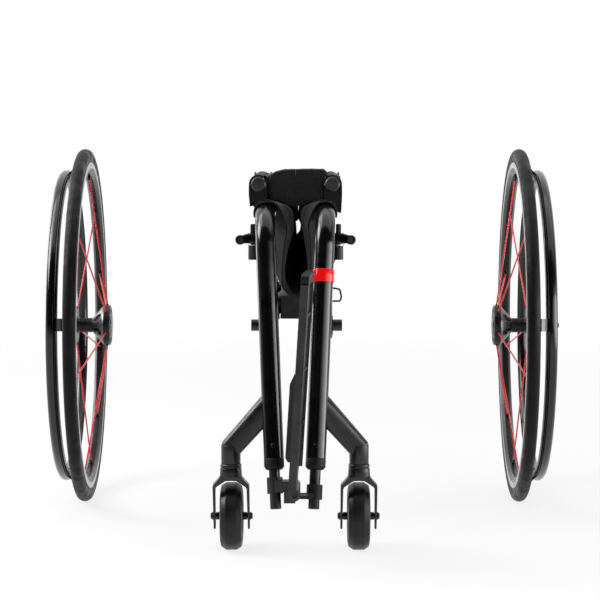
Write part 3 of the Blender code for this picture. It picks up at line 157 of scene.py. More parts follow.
CANE_FOOT = 0.01
CANE_LENGTH = 0.372
CANE_RISE = radians(1.5)
BACK_FRONT_V = -0.318
BACK_REAR_V = -0.02
BACK_CLOTH = 0.0025
CURTAIN_BOTTOM = 0.48
HUMP_Z = 0.5665
ROLL_DEPTH = 0.028
SLING_FRONT_V = -0.342
SLING_REAR_V = -0.02
SLING_CLOTH = 0.0025
SLING_BOTTOM = 0.3762

FRONT_PIVOT_V = BRAKE_V - 0.0449
LEG_RAKE = (LEG_FOOT[1] - KNEE_V) / (LEG_FOOT[2] - SEAT_Z)
FOOT_FRONT = LEG_FOOT[1] + (FOOT_Z - LEG_FOOT[2]) * LEG_RAKE - FOOT_SETBACK - FOOT_DEPTH
AXLE_Y = 0.5 * (-FOOT_FRONT - WHEEL_RADIUS)
RIM_OUTER = WHEEL_RADIUS - TYRE_HEIGHT
RIM_INNER = RIM_OUTER - RIM_DEPTH
PIN_HEAD = HUB_OUTER_REACH + 2 * GAP + PIN_TRAVEL
SIDES = {"left": 1, "right": -1}
TAB_ANGLES = [2 * pi * k / HANDRIM_TABS + HANDRIM_TAB_TURN for k in range(HANDRIM_TABS)]

# Sizes that only the look has
ROUND = 56
HUB_LIP = 0.002
HUB_BORE = 0.0097
WINDOW_HALF_WIDTH = 0.0052
WINDOW_HALF_LENGTH = 0.0064
WINDOW_DEPTH = 0.003
OUTER_FLANGE_INSET = 0.0057
ARM_ROUNDNESS = 0.72
LEG_SCREW_Z = 0.1655
LOOP_V = -0.014
SLEEVE_LOW = {1: CANE_Z - 0.044, -1: CANE_Z - 0.034}
HEM_ZONE = 0.0165
STRIP_HEIGHTS = (0.552, 0.4889)
SLING_BLEND_HEIGHTS = (0.495, 0.378)
STRIP_DROP = 0.0072
LEAN = tan(CANE_RISE)

# Camera and light, fitted to the photo
CAMERA_POINT = (0.0132, AXLE_Y - 3.856, 0.72)
CAMERA_PITCH = 0.0989
CAMERA_PAN = 0.0043
FOCAL_PIXELS = 2311
PICTURE_PIXELS = 600
SENSOR = 36.0
FLOOR_COLOR = 0.72
FLOOR_GLOW = 0.8
WORLD_LEVEL = 0.3
STUDIO_LEVEL = 0.02
FADE_LIMIT = 0.64
# Location, target, size, radiance; the side lamp is also rolled and faded
LAMPS = {
    "side": (
        (1.535, -1.57, 0.765), (0.6445, -1.1155, 0.765), (4.29, 0.75), 12.5, radians(-13), True
    ),
    "left": ((-2.2, -0.14, 1.62), (0.0, -0.40, 0.47), (1.2, 1.0), 12.0),
    "left_ceiling": ((-1.7, 0.15, 2.5), (0.0, -0.30, 0.50), (1.8, 1.4), 3.2),
    "overhead": ((0.0, 0.0, 2.8), (0.0, 0.0, 0.0), (7.0, 2.4), 1.3),
    "back": ((-1.9, 1.7, 0.7), (0.0, 0.0, 0.40), (0.8, 1.2), 4.0),
}


# Materials


def shader_input(made, name):
    return made.node_tree.nodes["Principled BSDF"].inputs[name]


def new_material(name, color, roughness, metallic=0.0, specular=0.5):
    made = bpy.data.materials.new(name)
    made.use_nodes = True
    values = {"Roughness": roughness, "Metallic": metallic, "Specular IOR Level": specular}
    for item, value in {"Base Color": (*color, 1.0), **values}.items():
        shader_input(made, item).default_value = value
    return made


def node(made, kind, **values):
    item = made.node_tree.nodes.new(kind)
    for key, value in values.items():
        if hasattr(item, key):
            setattr(item, key, value)
        else:
            item.inputs[key.replace("_", " ")].default_value = value
    return item


def wire(made, source, target):
    made.node_tree.links.new(source, target)


def maths(made, operation, *values):
    item = node(made, "ShaderNodeMath", operation=operation)
    for target, value in zip(item.inputs, values):
        if isinstance(value, (int, float)):
            target.default_value = value
        else:
            wire(made, value, target)
    return item.outputs[0]


def coordinates(made):
    return node(made, "ShaderNodeTexCoord").outputs["Object"]


def axes(made, vector):
    """The X, Y and Z of a vector."""
    item = node(made, "ShaderNodeSeparateXYZ")
    wire(made, vector, item.inputs["Vector"])
    return item.outputs


def noise_height(made, scale, detail):
    texture = node(made, "ShaderNodeTexNoise", Scale=scale, Detail=detail)
    wire(made, coordinates(made), texture.inputs["Vector"])
    return texture.outputs["Fac"]


def ramp(made, value, low, high, start=0.35, end=0.65):
    item = node(made, "ShaderNodeMapRange", From_Min=start, From_Max=end, To_Min=low, To_Max=high)
    wire(made, value, item.inputs["Value"])
    return item.outputs["Result"]


def tint(made, value, dark, light, start=0.35, end=0.65):
    mix = node(made, "ShaderNodeMix", data_type="RGBA")
    mix.inputs[6].default_value = (*dark, 1.0)
    mix.inputs[7].default_value = (*light, 1.0)
    wire(made, ramp(made, value, 0.0, 1.0, start, end), mix.inputs[0])
    wire(made, mix.outputs[2], shader_input(made, "Base Color"))


def roughen(made, value, low, high):
    wire(made, ramp(made, value, low, high), shader_input(made, "Roughness"))


def bump(made, value, distance, strength=1.0):
    normal = shader_input(made, "Normal")
    item = node(made, "ShaderNodeBump", Strength=strength, Distance=distance)
    wire(made, value, item.inputs["Height"])
    if normal.is_linked:
        wire(made, normal.links[0].from_socket, item.inputs["Normal"])
    wire(made, item.outputs["Normal"], normal)


def coated(name, color, roughness, specular, grain, depth, spread=0.25):
    """Paint or coating with a grain, uneven gloss and faint colour drift."""
    made = new_material(name, color, roughness, 0.0, specular)
    light = [c * (1 + 2 * spread) for c in color]
    dark = [c * (1 - spread) for c in color]
    tint(made, noise_height(made, 22.0, 4.0), dark, light)
    roughen(made, noise_height(made, 60.0, 5.0), roughness * (1 - spread), roughness * (1 + spread))
    bump(made, noise_height(made, grain, 2.0), depth)
    return made


def metal(name, color, roughness, grain, depth, spread=0.2):
    made = new_material(name, color, roughness, 1.0)
    dark = [c * (1 - spread) for c in color]
    light = [min(1.0, c * (1 + spread)) for c in color]
    tint(made, noise_height(made, 30.0, 5.0), dark, light)
    roughen(made, noise_height(made, 90.0, 4.0), roughness * 0.8, roughness * 1.25)
    bump(made, noise_height(made, grain, 2.0), depth)
    return made


def turned_metal(name, color, roughness, pitch=0.0005):
    """Metal with fine rings about its X axis, as a lathe or a brake track leaves."""
    made = metal(name, color, roughness, 900.0, 0.00001)
    parts = axes(made, coordinates(made))
    squares = [maths(made, "MULTIPLY", parts[a], parts[a]) for a in ("Y", "Z")]
    root = maths(made, "SQRT", maths(made, "ADD", *squares))
    rings = maths(made, "SINE", maths(made, "MULTIPLY", root, 2 * pi / pitch))
    bump(made, rings, 0.000012, 0.6)
    return made


def woven(name, color, pitch, depth, lift=1.9, sheen=0.35):
    """A plain weave: threads along Y crossed by threads in the X-Z plane, with a soft nap."""
    made = new_material(name, color, 0.85, 0.0, 0.2)
    shader_input(made, "Sheen Weight").default_value = sheen
    shader_input(made, "Sheen Roughness").default_value = 0.45
    shader_input(made, "Sheen Tint").default_value = (0.55, 0.56, 0.6, 1.0)
    parts = axes(made, coordinates(made))
    threads = []
    for source in (parts["Y"], maths(made, "ADD", parts["X"], parts["Z"])):
        threads.append(maths(made, "SINE", maths(made, "MULTIPLY", source, pi / pitch)))
    weave = maths(made, "MULTIPLY", *threads)
    nap = maths(made, "MULTIPLY", noise_height(made, 650.0, 3.0), 2.2)
    cloth_height = maths(made, "ADD", weave, nap)
    # The tint follows the height, so it is painted light and shade: lift sets how much lighter the
    # weave's crests are painted, and the gaps between threads are painted darker. The nap's noise
    # adds a tone that differs at random.
    tint(made, cloth_height, [c * 0.5 for c in color], [c * lift for c in color], 0.2, 2.0)
    bump(made, cloth_height, depth)
    bump(made, noise_height(made, 55.0, 4.0), 0.0006, 0.35)
    roughen(made, noise_height(made, 300.0, 2.0), 0.75, 0.95)
    return made


# Name: slot, maker, its values
FINISHES = {
    "lacquer": ("gloss_black", coated, (0.0019, 0.0019, 0.0020), 0.17, 0.50, 700.0, 0.000008),
    "satin": ("satin_black", coated, (0.0045, 0.0045, 0.0048), 0.32, 0.50, 2600.0, 0.00002),
    "moulded": ("moulded_black", coated, (0.0060, 0.0060, 0.0062), 0.50, 0.24, 1900.0, 0.00005),
    "rubber": ("tyre_rubber", coated, (0.0034, 0.0034, 0.0036), 0.50, 0.16, 1500.0, 0.00004),
    "caster_rubber": ("tyre_rubber", coated, (0.0075, 0.0075, 0.0079), 0.42, 0.30, 1200.0, 1.5e-5),
    "mechanism": ("grey_metal", metal, (0.052, 0.052, 0.055), 0.45, 2400.0, 0.00003),
    "plate_grey": ("satin_black", coated, (0.026, 0.026, 0.0275), 0.42, 0.30, 2200.0, 0.00003),
    "clamp_grey": ("grey_metal", coated, (0.020, 0.020, 0.021), 0.38, 0.35, 2200.0, 0.00003),
    "steel": ("steel", turned_metal, (0.50, 0.50, 0.52), 0.28),
    "dark_steel": ("steel", metal, (0.030, 0.030, 0.033), 0.34, 1800.0, 0.00001),
    "rim_black": ("rim_alloy", coated, (0.0060, 0.0060, 0.0066), 0.30, 0.30, 1500.0, 0.00001),
    "rim_track": ("rim_alloy", turned_metal, (0.42, 0.42, 0.44), 0.33, 0.0009),
    "hub_grey": ("grey_metal", turned_metal, (0.16, 0.16, 0.17), 0.34),
    "spoke_red": ("spoke_red", coated, (0.60, 0.012, 0.018), 0.28, 0.5, 2500.0, 0.00001, 0.12),
    "band_red": ("band_red", coated, (0.88, 0.0025, 0.0035), 0.20, 0.35, 900.0, 0.000006, 0.05),
    "cloth": ("black_cloth", woven, (0.0075, 0.0075, 0.0079), 0.0011, 0.00020),
    "webbing": ("black_cloth", woven, (0.0075, 0.0075, 0.0079), 0.0016, 0.0003, 1.7, 0.1),
    "foam": ("moulded_black", coated, (0.0055, 0.0055, 0.0058), 0.66, 0.20, 900.0, 0.00010),
}
MATERIALS = {name: row[1](name, *row[2:]) for name, row in FINISHES.items()}


# Shape tools


def clamp(value):
    return min(1.0, max(0.0, value))


def angles(count):
    """Evenly spaced angles round a circle."""
    return [2 * pi * k / count for k in range(count)]


def mirrored(points):
    return [(-x, r) for x, r in reversed(points)]


def arc(centre, radius, start, end, steps):
    points = []
    for k in range(steps + 1):
        angle = radians(start + (end - start) * k / steps)
        points.append((centre[0] + radius * cos(angle), centre[1] + radius * sin(angle)))
    return points


def rounded_path(points, radius, steps):
    """A run of points whose inner corners are turned into arcs."""
    points = [Vector(p) for p in points]
    path = [points[0]]
    for before, corner, after in zip(points, points[1:], points[2:]):
        back = (before - corner).normalized()
        ahead = (after - corner).normalized()
        half = 0.5 * back.angle(ahead)
        centre = corner + (back + ahead).normalized() * radius / sin(half)
        first = corner + back * radius / tan(half) - centre
        last = corner + ahead * radius / tan(half) - centre
        for k in range(steps + 1):
            path.append(centre + first.slerp(last, k / steps) * radius)
    path.append(points[-1])
    return path


def soft(points, radius, steps=3, closed=False):
    """An outline in a plane with its corners rounded as far as its edges allow."""
    points = [Vector(p[:2]) for p in points]
    outline = []
    for k, corner in enumerate(points):
        if not closed and k in (0, len(points) - 1):
            outline.append(tuple(corner))
            continue
        back = points[k - 1] - corner
        ahead = points[(k + 1) % len(points)] - corner
        half = 0.5 * back.angle(ahead)
        if half > radians(84):
            outline.append(tuple(corner))
            continue
        run = min(radius / tan(half), 0.45 * back.length, 0.45 * ahead.length)
        first = corner + back.normalized() * run
        last = corner + ahead.normalized() * run
        middle = (back.normalized() + ahead.normalized()).normalized()
        centre = corner + middle * run / cos(half)
        start = atan2(first.y - centre.y, first.x - centre.x)
        end = atan2(last.y - centre.y, last.x - centre.x)
        span = (end - start + pi) % (2 * pi) - pi
        size = (first - centre).length
        for j in range(steps + 1):
            angle = start + span * j / steps
            outline.append((centre.x + size * cos(angle), centre.y + size * sin(angle)))
    return outline


def hexagon(angle):
    """How far a hexagon's side lies in from its corners, by angle."""
    turn = pi / 3
    return cos(turn / 2) / cos((angle % turn) - turn / 2)


def skin(rings, closed=False, ends=False):
    """Faces between rings of points; a ring of one point makes a tip."""
    shape = bmesh.new()
    rows = [[shape.verts.new(point) for point in ring] for ring in rings]
    for near, far in zip(rows, rows[1:] + rows[:closed]):
        for k in range(max(len(near), len(far))):
            corners = [near[(k - 1) % len(near)], near[k % len(near)]]
            corners += [far[k % len(far)], far[(k - 1) % len(far)]]
            corners = list(dict.fromkeys(corners))
            if len(corners) > 2:
                shape.faces.new(corners)
    if ends:
        shape.faces.new(rows[0])
        shape.faces.new(rows[-1])
    bmesh.ops.recalc_face_normals(shape, faces=shape.faces)
    return shape


def lathe(profile, segments=ROUND, closed=False, flats=()):
    """A profile of (x, r) points turned about the X axis; points in flats follow a hexagon."""
    rings = []
    for k, (x, r) in enumerate(profile):
        ring = []
        for angle in angles(segments):
            size = r * hexagon(angle) if k in flats else r
            ring.append((x, size * sin(angle), size * cos(angle)))
        rings.append([(x, 0, 0)] if r < 1e-7 else ring)
    return skin(rings, closed)


def turned(profile, round_edge, segments=ROUND, steps=3, closed=False):
    """A profile turned about the X axis, with its edges rounded."""
    return lathe(soft(profile, round_edge, steps, closed), segments, closed)


def moved(shape, offset):
    bmesh.ops.translate(shape, vec=Vector(offset), verts=shape.verts)
    return shape


def rotated(shape, turn):
    bmesh.ops.rotate(shape, cent=(0, 0, 0), matrix=turn, verts=shape.verts)
    return shape


def turned_about_x(shape, angle):
    return rotated(shape, Matrix.Rotation(angle, 3, "X"))


def around(make, turns):
    """Copies of a shape set about the X axis."""
    return [turned_about_x(make(), angle) for angle in turns]


def aimed(shape, direction, point):
    turn = Vector(direction).to_track_quat("X", "Z").to_matrix()
    return moved(rotated(shape, turn), point)


def bar(start, end, radius, round_edge=0.0008, sides=ROUND):
    start = Vector(start)
    run = Vector(end) - start
    profile = [(0, 0), (0, radius), (run.length, radius), (run.length, 0)]
    return aimed(turned(profile, round_edge, sides), run, start)


def collar(inner, outer, length, direction, centre, round_edge=0.0006):
    half = 0.5 * length
    profile = [(-half, inner), (-half, outer), (half, outer), (half, inner)]
    return aimed(turned(profile, round_edge, closed=True), direction, centre)


def sweep(path, radius, sides=ROUND):
    """A round bar along a run of points, with a frame carried along it."""
    across = (path[1] - path[0]).orthogonal().normalized()
    rings = []
    for k, point in enumerate(path):
        ahead = path[min(k + 1, len(path) - 1)] - path[max(k - 1, 0)]
        ahead.normalize()
        across = (across - ahead * across.dot(ahead)).normalized()
        other = ahead.cross(across)
        asides = [across * cos(angle) + other * sin(angle) for angle in angles(sides)]
        rings.append([point + radius * aside for aside in asides])
    return lofted(rings)


def prism(outline, low, high):
    """An outline in the X-Z plane drawn out along Y."""
    return lofted([[(x, y, z) for x, z in outline] for y in (low, high)])


def lofted(rings):
    return skin(rings, ends=True)


def together(*shapes):
    """Several closed shapes in one mesh."""
    whole = shapes[0]
    for shape in shapes[1:]:
        mesh = bpy.data.meshes.new("step")
        shape.to_mesh(mesh)
        shape.free()
        whole.from_mesh(mesh)
        bpy.data.meshes.remove(mesh)
    return whole


# Places that several pieces share


def leg_point(z):
    knee = Vector((SEAT_U, KNEE_V, SEAT_Z))
    foot = Vector(LEG_FOOT)
    return knee.lerp(foot, (SEAT_Z - z) / (SEAT_Z - foot.z))


def leg_direction():
    return (Vector(LEG_FOOT) - Vector((SEAT_U, KNEE_V, SEAT_Z))).normalized()


def leg_front(z):
    """The point on the leg's front at a height, and the way it faces."""
    along = leg_direction()
    forward = Vector((0, -1, 0))
    face = (forward - along * forward.dot(along)).normalized()
    return leg_point(z) + face * TUBE_RADIUS, face


def cane_point(distance):
    v = CANE_V - distance * cos(CANE_RISE)
    return Vector((CANE_U, v, CANE_Z + distance * sin(CANE_RISE)))


def spine_pivot_v(frame_v):
    lean = asin((FRAME_PIVOT_U - SPINE_PIVOT_U) / ARM_LENGTH)
    return frame_v + ARM_LENGTH * cos(lean)


def place(side, point):
    return Vector((FRAME_X + side * point[0], AXLE_Y + point[1], point[2]))


# Making pieces


def linked(name, data):
    item = bpy.data.objects.new(name, data)
    bpy.context.scene.collection.objects.link(item)
    return item


def put(name, shape, finish, body, side, origin, nodes, bevel=0.0, smooth=35, blend=None):
    """Makes a piece from a left-side shape, mirrors it if need be, and rides it on a body; a piece
    given a blend only has its placing baked in.
    """
    if side < 0:
        bmesh.ops.scale(shape, vec=(-1, 1, 1), verts=shape.verts)
        bmesh.ops.reverse_faces(shape, faces=shape.faces)
    mesh = bpy.data.meshes.new(name)
    shape.to_mesh(mesh)
    shape.free()
    mesh.shade_smooth()
    finishes = finish if isinstance(finish, list) else [finish]
    for item in finishes:
        mesh.materials.append(MATERIALS[item])
    piece = linked(name, mesh)
    piece.location = origin if origin is not None else (FRAME_X, AXLE_Y, 0.0)
    if bevel:
        soften(piece, bevel, 3, smooth)
    else:
        mesh.set_sharp_from_angle(angle=radians(smooth))
    if nodes:
        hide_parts(*nodes)
    if blend:
        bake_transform(piece)
    else:
        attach(piece, body)
    return piece


def maker(name, body, origin=None):
    """A function that makes pieces of one side and rides them on a body."""

    def add(piece, shape, finish, *nodes, on=body, at=origin, **more):
        nodes = [f"{name}_{node_name}" for node_name in nodes]
        return put(f"{name}_{piece}", shape, finish, on, SIDES[name], at, nodes, **more)

    return add


def soften(item, width, segments, angle):
    edge = item.modifiers.new("edges", "BEVEL")
    edge.width = width
    edge.segments = segments
    edge.limit_method = "ANGLE"
    edge.angle_limit = radians(angle)
    edge.harden_normals = True


def dress(name, finish, bevel=0.0006, angle=30):
    """Gives a CAD node its finish and softened edges."""
    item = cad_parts[name]
    mesh = item.data
    for attribute in ("custom_normal", "sharp_edge"):
        if mesh.attributes.get(attribute):
            mesh.attributes.remove(mesh.attributes[attribute])
    mesh.shade_smooth()
    mesh.materials.clear()
    mesh.materials.append(MATERIALS[finish])
    weld = item.modifiers.new("weld", "WELD")
    weld.merge_threshold = 0.00001
    soften(item, bevel, 2, angle)


def socket_screw(radius, height):
    """A low button-head screw with a hexagon socket, standing on the Y-Z plane."""
    profile = [(0.0, 0.0), (0.0, radius)]
    for turn in (15, 30, 45, 58):
        angle = radians(turn)
        profile.append((height * sin(angle), radius * sqrt(cos(angle))))
    key = 0.47 * radius
    top = profile[-1][0] + 0.00005
    start = len(profile)
    profile += [(top, key), (top - 0.55 * height, key), (top - 0.55 * height, 0.0)]
    return lathe(profile, 32, flats=(start, start + 1))


def screw(add, piece, point, direction, radius, height):
    add(piece, aimed(socket_screw(radius, height), direction, point), "dark_steel", smooth=30)


def polar(point):
    """A point's distance from the X axis and its angle about it."""
    return hypot(point.y, point.z), atan2(point.y, point.z)


def pinch(corner, share):
    corner.co.y *= share
    corner.co.z *= share


# Rear wheels


def tyre():
    """A slick tyre with two fine tread lines, a bead line and rounded sidewalls."""
    radius = 0.5 * TYRE_WIDTH
    centre = WHEEL_RADIUS - radius
    points = []
    for k in range(45):
        angle = radians(-24 + 228 * k / 44)
        off = degrees(angle) - 90
        groove = sum(0.00025 * exp(-(((abs(off) - a) / 3.2) ** 2)) for a in (9, 24))
        step = 0.0003 * (1 / (1 + exp((abs(off) - 58) / 2.5)))
        size = radius - 0.0003 + step - groove
        points.append((size * cos(angle), centre + size * sin(angle)))
    bead = RIM_OUTER + GAP
    points += [(-0.0086, bead + 0.0014), (-0.0084, bead), (0.0084, bead), (0.0086, bead + 0.0014)]
    return lathe(points, 160, True)


def rim():
    edge = 0.5 * RIM_WIDTH
    track = RIM_OUTER - RIM_TRACK
    right = [(edge, RIM_OUTER), (edge, track), (0.5 * RIM_CROWN, RIM_INNER)]
    shape = turned(right + mirrored(right), 0.0012, 160, closed=True)
    for face in shape.faces:
        middle = face.calc_center_median()
        if abs(middle.x) > edge - 0.0002 and polar(middle)[0] > track + 0.0008:
            face.material_index = 1
    return shape


def spoke_line(number):
    angle = radians(360 / SPOKE_COUNT) * (number + 0.5)
    outward = Vector((0.0, sin(angle), cos(angle)))
    hub_x = HUB_LIP + 0.5 * INNER_FLANGE_WIDTH - HUB_INNER_REACH
    flange = INNER_FLANGE_RADIUS
    if number % 2:
        hub_x = HUB_OUTER_REACH - OUTER_FLANGE_INSET - 0.5 * OUTER_FLANGE_WIDTH
        flange = OUTER_FLANGE_RADIUS
    start = Vector((hub_x, 0.0, 0.0)) + outward * (flange - 0.003)
    return start, outward * (RIM_INNER + 0.0004)


def hub():
    """A stepped hub: thick inner disc, windowed cone, slim barrel and a scalloped outer flange."""
    bore = HUB_BORE
    inner_end = -HUB_INNER_REACH
    disc = inner_end + HUB_LIP
    cone = disc + INNER_FLANGE_WIDTH
    cone_end = cone + HUB_CONE_LENGTH
    outer_face = HUB_OUTER_REACH - OUTER_FLANGE_INSET
    outer_back = outer_face - OUTER_FLANGE_WIDTH
    disc_radius = INNER_FLANGE_RADIUS
    flange_radius = OUTER_FLANGE_RADIUS
    barrel = HUB_BARREL_RADIUS
    profile = [
        (inner_end, bore), (inner_end, 0.0155), (disc + 0.0005, 0.0165), (disc, 0.0205),
        (disc, disc_radius - 0.002), (disc + 0.0015, disc_radius), (cone - 0.0015, disc_radius),
        (cone, disc_radius - 0.001),
    ]
    for share in (k / 12 for k in range(1, 12)):
        radius = disc_radius + (barrel - disc_radius) * share
        profile.append((cone + HUB_CONE_LENGTH * share, radius))
    profile += [
        (cone_end, barrel), (cone_end + 0.0012, barrel - 0.0006),
        (outer_back - 0.004, barrel - 0.0006), (outer_back, 0.015),
        (outer_back, flange_radius - 0.0015), (outer_back + 0.0015, flange_radius),
        (outer_face - 0.0015, flange_radius), (outer_face, flange_radius - 0.0015),
        (outer_face, 0.019), (outer_face + 0.001, 0.0155), (HUB_OUTER_REACH - 0.002, 0.0148),
        (HUB_OUTER_REACH, 0.0135), (HUB_OUTER_REACH, bore),
    ]
    shape = turned(profile, 0.0009, 144, closed=True)
    middle_x = cone + 0.5 * HUB_CONE_LENGTH

    def window(x, size, angle):
        """Below one inside the nearest of the cone's six windows."""
        across = ((angle + 0.35) % (pi / 3) - pi / 6) * size / WINDOW_HALF_WIDTH
        return across**2 + ((x - middle_x) / WINDOW_HALF_LENGTH) ** 2

    for corner in shape.verts:
        x = corner.co.x
        size, angle = polar(corner.co)
        if cone + 0.001 < x < cone_end - 0.0005 and size > barrel:
            depth = WINDOW_DEPTH * clamp((1 - window(x, size, angle)) * 4)
            pinch(corner, 1 - depth / size)
        if x > outer_back - 0.0002 and size > 0.022:
            lobe = 0.5 - 0.5 * cos(6 * angle)
            pinch(corner, 1 - 0.17 * (1 - lobe) ** 3 * (size - 0.022) / 0.011)
    # Faces inside the cone's windows keep the hub's black finish. This is painted shade standing in
    # for open holes, with the black hub behind them.
    for face in shape.faces:
        middle = face.calc_center_median()
        size, angle = polar(middle)
        on_cone = cone + 0.0006 < middle.x < cone_end - 0.0004 and size > 0.0095
        on_disc = middle.x < disc + 0.0002 and 0.0125 < size < 0.02
        if on_disc or on_cone and window(middle.x, size, angle) > 0.94:
            face.material_index = 1
    return shape


def handrim():
    x, r = HANDRIM_OFFSET, HANDRIM_RADIUS
    circle = arc((x, r), HANDRIM_TUBE, 0, 360, 32)[:-1]
    face = 0.5 * RIM_WIDTH + GAP
    tab = [
        (face, RIM_OUTER - RIM_TRACK + 0.001), (face, RIM_OUTER - 0.001),
        (face + 0.003, RIM_OUTER - 0.001), (x - 0.0045, r + 0.006), (x, r), (x - 0.0065, r - 0.004),
    ]
    half = 0.5 * HANDRIM_TAB_WIDTH
    tabs = around(lambda: prism(soft(tab, 0.0015, 3, True), -half, half), TAB_ANGLES)
    return together(lathe(circle, 176, True), *tabs)


def axle_pin():
    tip = -HUB_INNER_REACH
    head = PIN_HEAD
    end = head + PIN_HEAD_WIDTH
    shaft = PIN_RADIUS
    knob = PIN_HEAD_RADIUS
    bore = BUTTON_RADIUS + RUNNING
    floor = head - BUTTON_TRAVEL - 0.004
    profile = [
        (tip, 0.0), (tip, shaft - 0.0022), (tip + 0.003, shaft), (tip + 0.011, shaft),
        (tip + 0.0115, shaft - 0.0005), (tip + 0.0135, shaft - 0.0005), (tip + 0.014, shaft),
        (head, shaft), (head, knob - 0.0008), (head + 0.001, knob), (end - 0.002, knob),
        (end, knob - 0.002), (end, bore), (floor, bore), (floor, 0.0),
    ]
    shape = turned(profile, 0.0005, 64, 2)
    for corner in shape.verts:
        size, angle = polar(corner.co)
        if head + 0.0008 < corner.co.x < end - 0.0018 and size > knob - 0.0002:
            pinch(corner, 1 - 0.035 * (0.5 + 0.5 * cos(16 * angle)))
    return shape


def release_button():
    inner = PIN_HEAD - BUTTON_TRAVEL + 0.0005
    outer = PIN_HEAD + PIN_HEAD_WIDTH + BUTTON_REACH
    profile = [
        (inner, 0), (inner, BUTTON_RADIUS), (outer - 0.0012, BUTTON_RADIUS),
        (outer, BUTTON_RADIUS - 0.0012), (outer - 0.0004, 0.0018), (outer - 0.0006, 0),
    ]
    return turned(profile, 0.0004, 40)


def spoke_set():
    """The spokes, their nipples at the rim and their seats in the hub's flanges."""
    spokes, nipples, seats = [], [], []
    nipple = [(0, 0), (0, 0.0016), (0.0035, 0.0022), (0.0075, 0.0022), (0.0075, 0)]
    seat = [(0, 0), (0, 0.0021), (0.004, 0.0019), (0.004, 0)]
    for k in range(SPOKE_COUNT):
        start, end = spoke_line(k)
        run = (end - start).normalized()
        spokes.append(bar(start, end, SPOKE_RADIUS, 0.0002, 14))
        nipples.append(aimed(turned(nipple, 0.0004, 16), run, end - run * 0.0072))
        seats.append(aimed(turned(seat, 0.0003, 16), run, start + run * 0.0012))
    return together(*spokes), together(*nipples), together(*seats)


def hub_plugs():
    """Black plugs round the inner disc of the hub."""
    cup = [(0, 0), (-0.0004, 0.0022), (-0.0004, 0.0034), (0.0005, 0.0034), (0.0005, 0)]
    at = (HUB_LIP - HUB_INNER_REACH, 0, 0.0253)
    return together(*around(lambda: moved(turned(cup, 0.0003, 20), at), angles(SPOKE_COUNT)))


def handrim_screws():
    at = (0.5 * RIM_WIDTH + GAP + 0.0029, 0, RIM_OUTER - 0.0045)
    return together(*around(lambda: moved(socket_screw(0.0026, 0.0016), at), TAB_ANGLES))


def locking_balls():
    balls = []
    for sign in (1, -1):
        ball = bmesh.new()
        bmesh.ops.create_uvsphere(ball, u_segments=16, v_segments=10, radius=0.0017)
        balls.append(moved(ball, (0.0125 - HUB_INNER_REACH, 0, sign * (PIN_RADIUS - 0.0014))))
    return together(*balls)


def build_rear_wheel(name, side):
    add = maker(name, f"{name}_wheel", Vector((side * WHEEL_STANCE, AXLE_Y, WHEEL_RADIUS)))
    add("tyre_slick", tyre(), "rubber", "tyre", smooth=50)
    add("rim_hoop", rim(), ["rim_black", "rim_track"], "rim")
    add("hub_shell", hub(), ["rim_black", "hub_grey"], "spoked_hub")
    add("handrim_hoop", handrim(), "lacquer", "handrim")
    spokes, nipples, seats = spoke_set()
    add("spokes", spokes, "spoke_red")
    add("nipples", nipples, "dark_steel")
    add("spoke_seats", seats, "moulded")
    add("hub_plugs", hub_plugs(), "moulded")
    add("handrim_screws", handrim_screws(), "dark_steel")
    body = f"{name}_axle_pin"
    pin = add("quick_pin", axle_pin(), ["dark_steel", "moulded"], "axle_pin", on=body)
    for face in pin.data.polygons:
        if face.center.x * side > PIN_HEAD - 0.0065:
            face.material_index = 1
    add("locking_balls", locking_balls(), "steel", on=body)
    add("button", release_button(), "hub_grey", "release_button", on=f"{name}_release")
    dress(f"{name}_hub_bush", "steel", 0.0003)


# Side frames


def seat_and_leg():
    corners = [(SEAT_U, SEAT_REAR, SEAT_Z), (SEAT_U, KNEE_V, SEAT_Z), LEG_FOOT]
    return sweep(rounded_path(corners, KNEE_SWEEP, 28), TUBE_RADIUS)


def squarish(turn):
    return copysign(abs(turn) ** ARM_ROUNDNESS, turn)


def caster_arm():
    """A flattened tube from the leg to the caster head, mitred at its elbow."""
    outer_u = CASTER_U + HEAD_RADIUS - 0.001
    inner_u = CASTER_U - HEAD_RADIUS
    foot_z = HEAD_BOTTOM + 0.002
    elbow = Vector((outer_u, CASTER_V, CASTER_ARM_CORNER))
    crotch = Vector((inner_u + 0.0015, CASTER_V, CASTER_ARM_CROTCH))
    foot = Vector((outer_u, CASTER_V, foot_z))
    heel = Vector((inner_u + 0.002, CASTER_V, foot_z))
    sections = [
        (leg_point(CASTER_ARM_TOP), leg_point(CASTER_ARM_FOOT), 1.1 * CASTER_ARM_HALF),
        (elbow, crotch, 1.25 * CASTER_ARM_HALF),
        (foot, heel, 1.25 * CASTER_ARM_HALF),
    ]
    rings = []
    for outer, inner, depth in sections:
        points = []
        for angle in angles(40):
            middle = 0.5 * (outer + inner) + 0.5 * (outer - inner) * squarish(cos(angle))
            points.append(middle + Vector((0, depth * squarish(sin(angle)), 0)))
        rings.append(points)
    return lofted(rings)


def arm_bracket(pivot_v):
    web_inner = FRAME_PIVOT_U + ARM_BOSS + 0.001
    web_outer = web_inner + 0.005
    tip = FRAME_PIVOT_U - ARM_BOSS
    low = LINK_BOTTOM + LINK_PLATE
    high = LINK_TOP - LINK_PLATE
    outline = [
        (web_outer, LINK_BOTTOM), (tip, LINK_BOTTOM), (tip, low), (web_inner, low),
        (web_inner, high), (tip, high), (tip, LINK_TOP), (web_inner, LINK_TOP),
        (web_inner, RAIL_Z), (web_outer, RAIL_Z),
    ]
    return prism(outline, pivot_v - 0.012, pivot_v + 0.012)


def leg_collar():
    bore = STUB_RADIUS + RUNNING
    outer = TUBE_RADIUS
    end = SLEEVE_LENGTH
    profile = [(GAP, bore), (GAP, outer), (end - 0.005, outer), (end - 0.0015, outer - 0.0022)]
    profile += [(end, outer - 0.0045), (end, bore)]
    return aimed(turned(profile, 0.0008, closed=True), leg_direction(), LEG_FOOT)


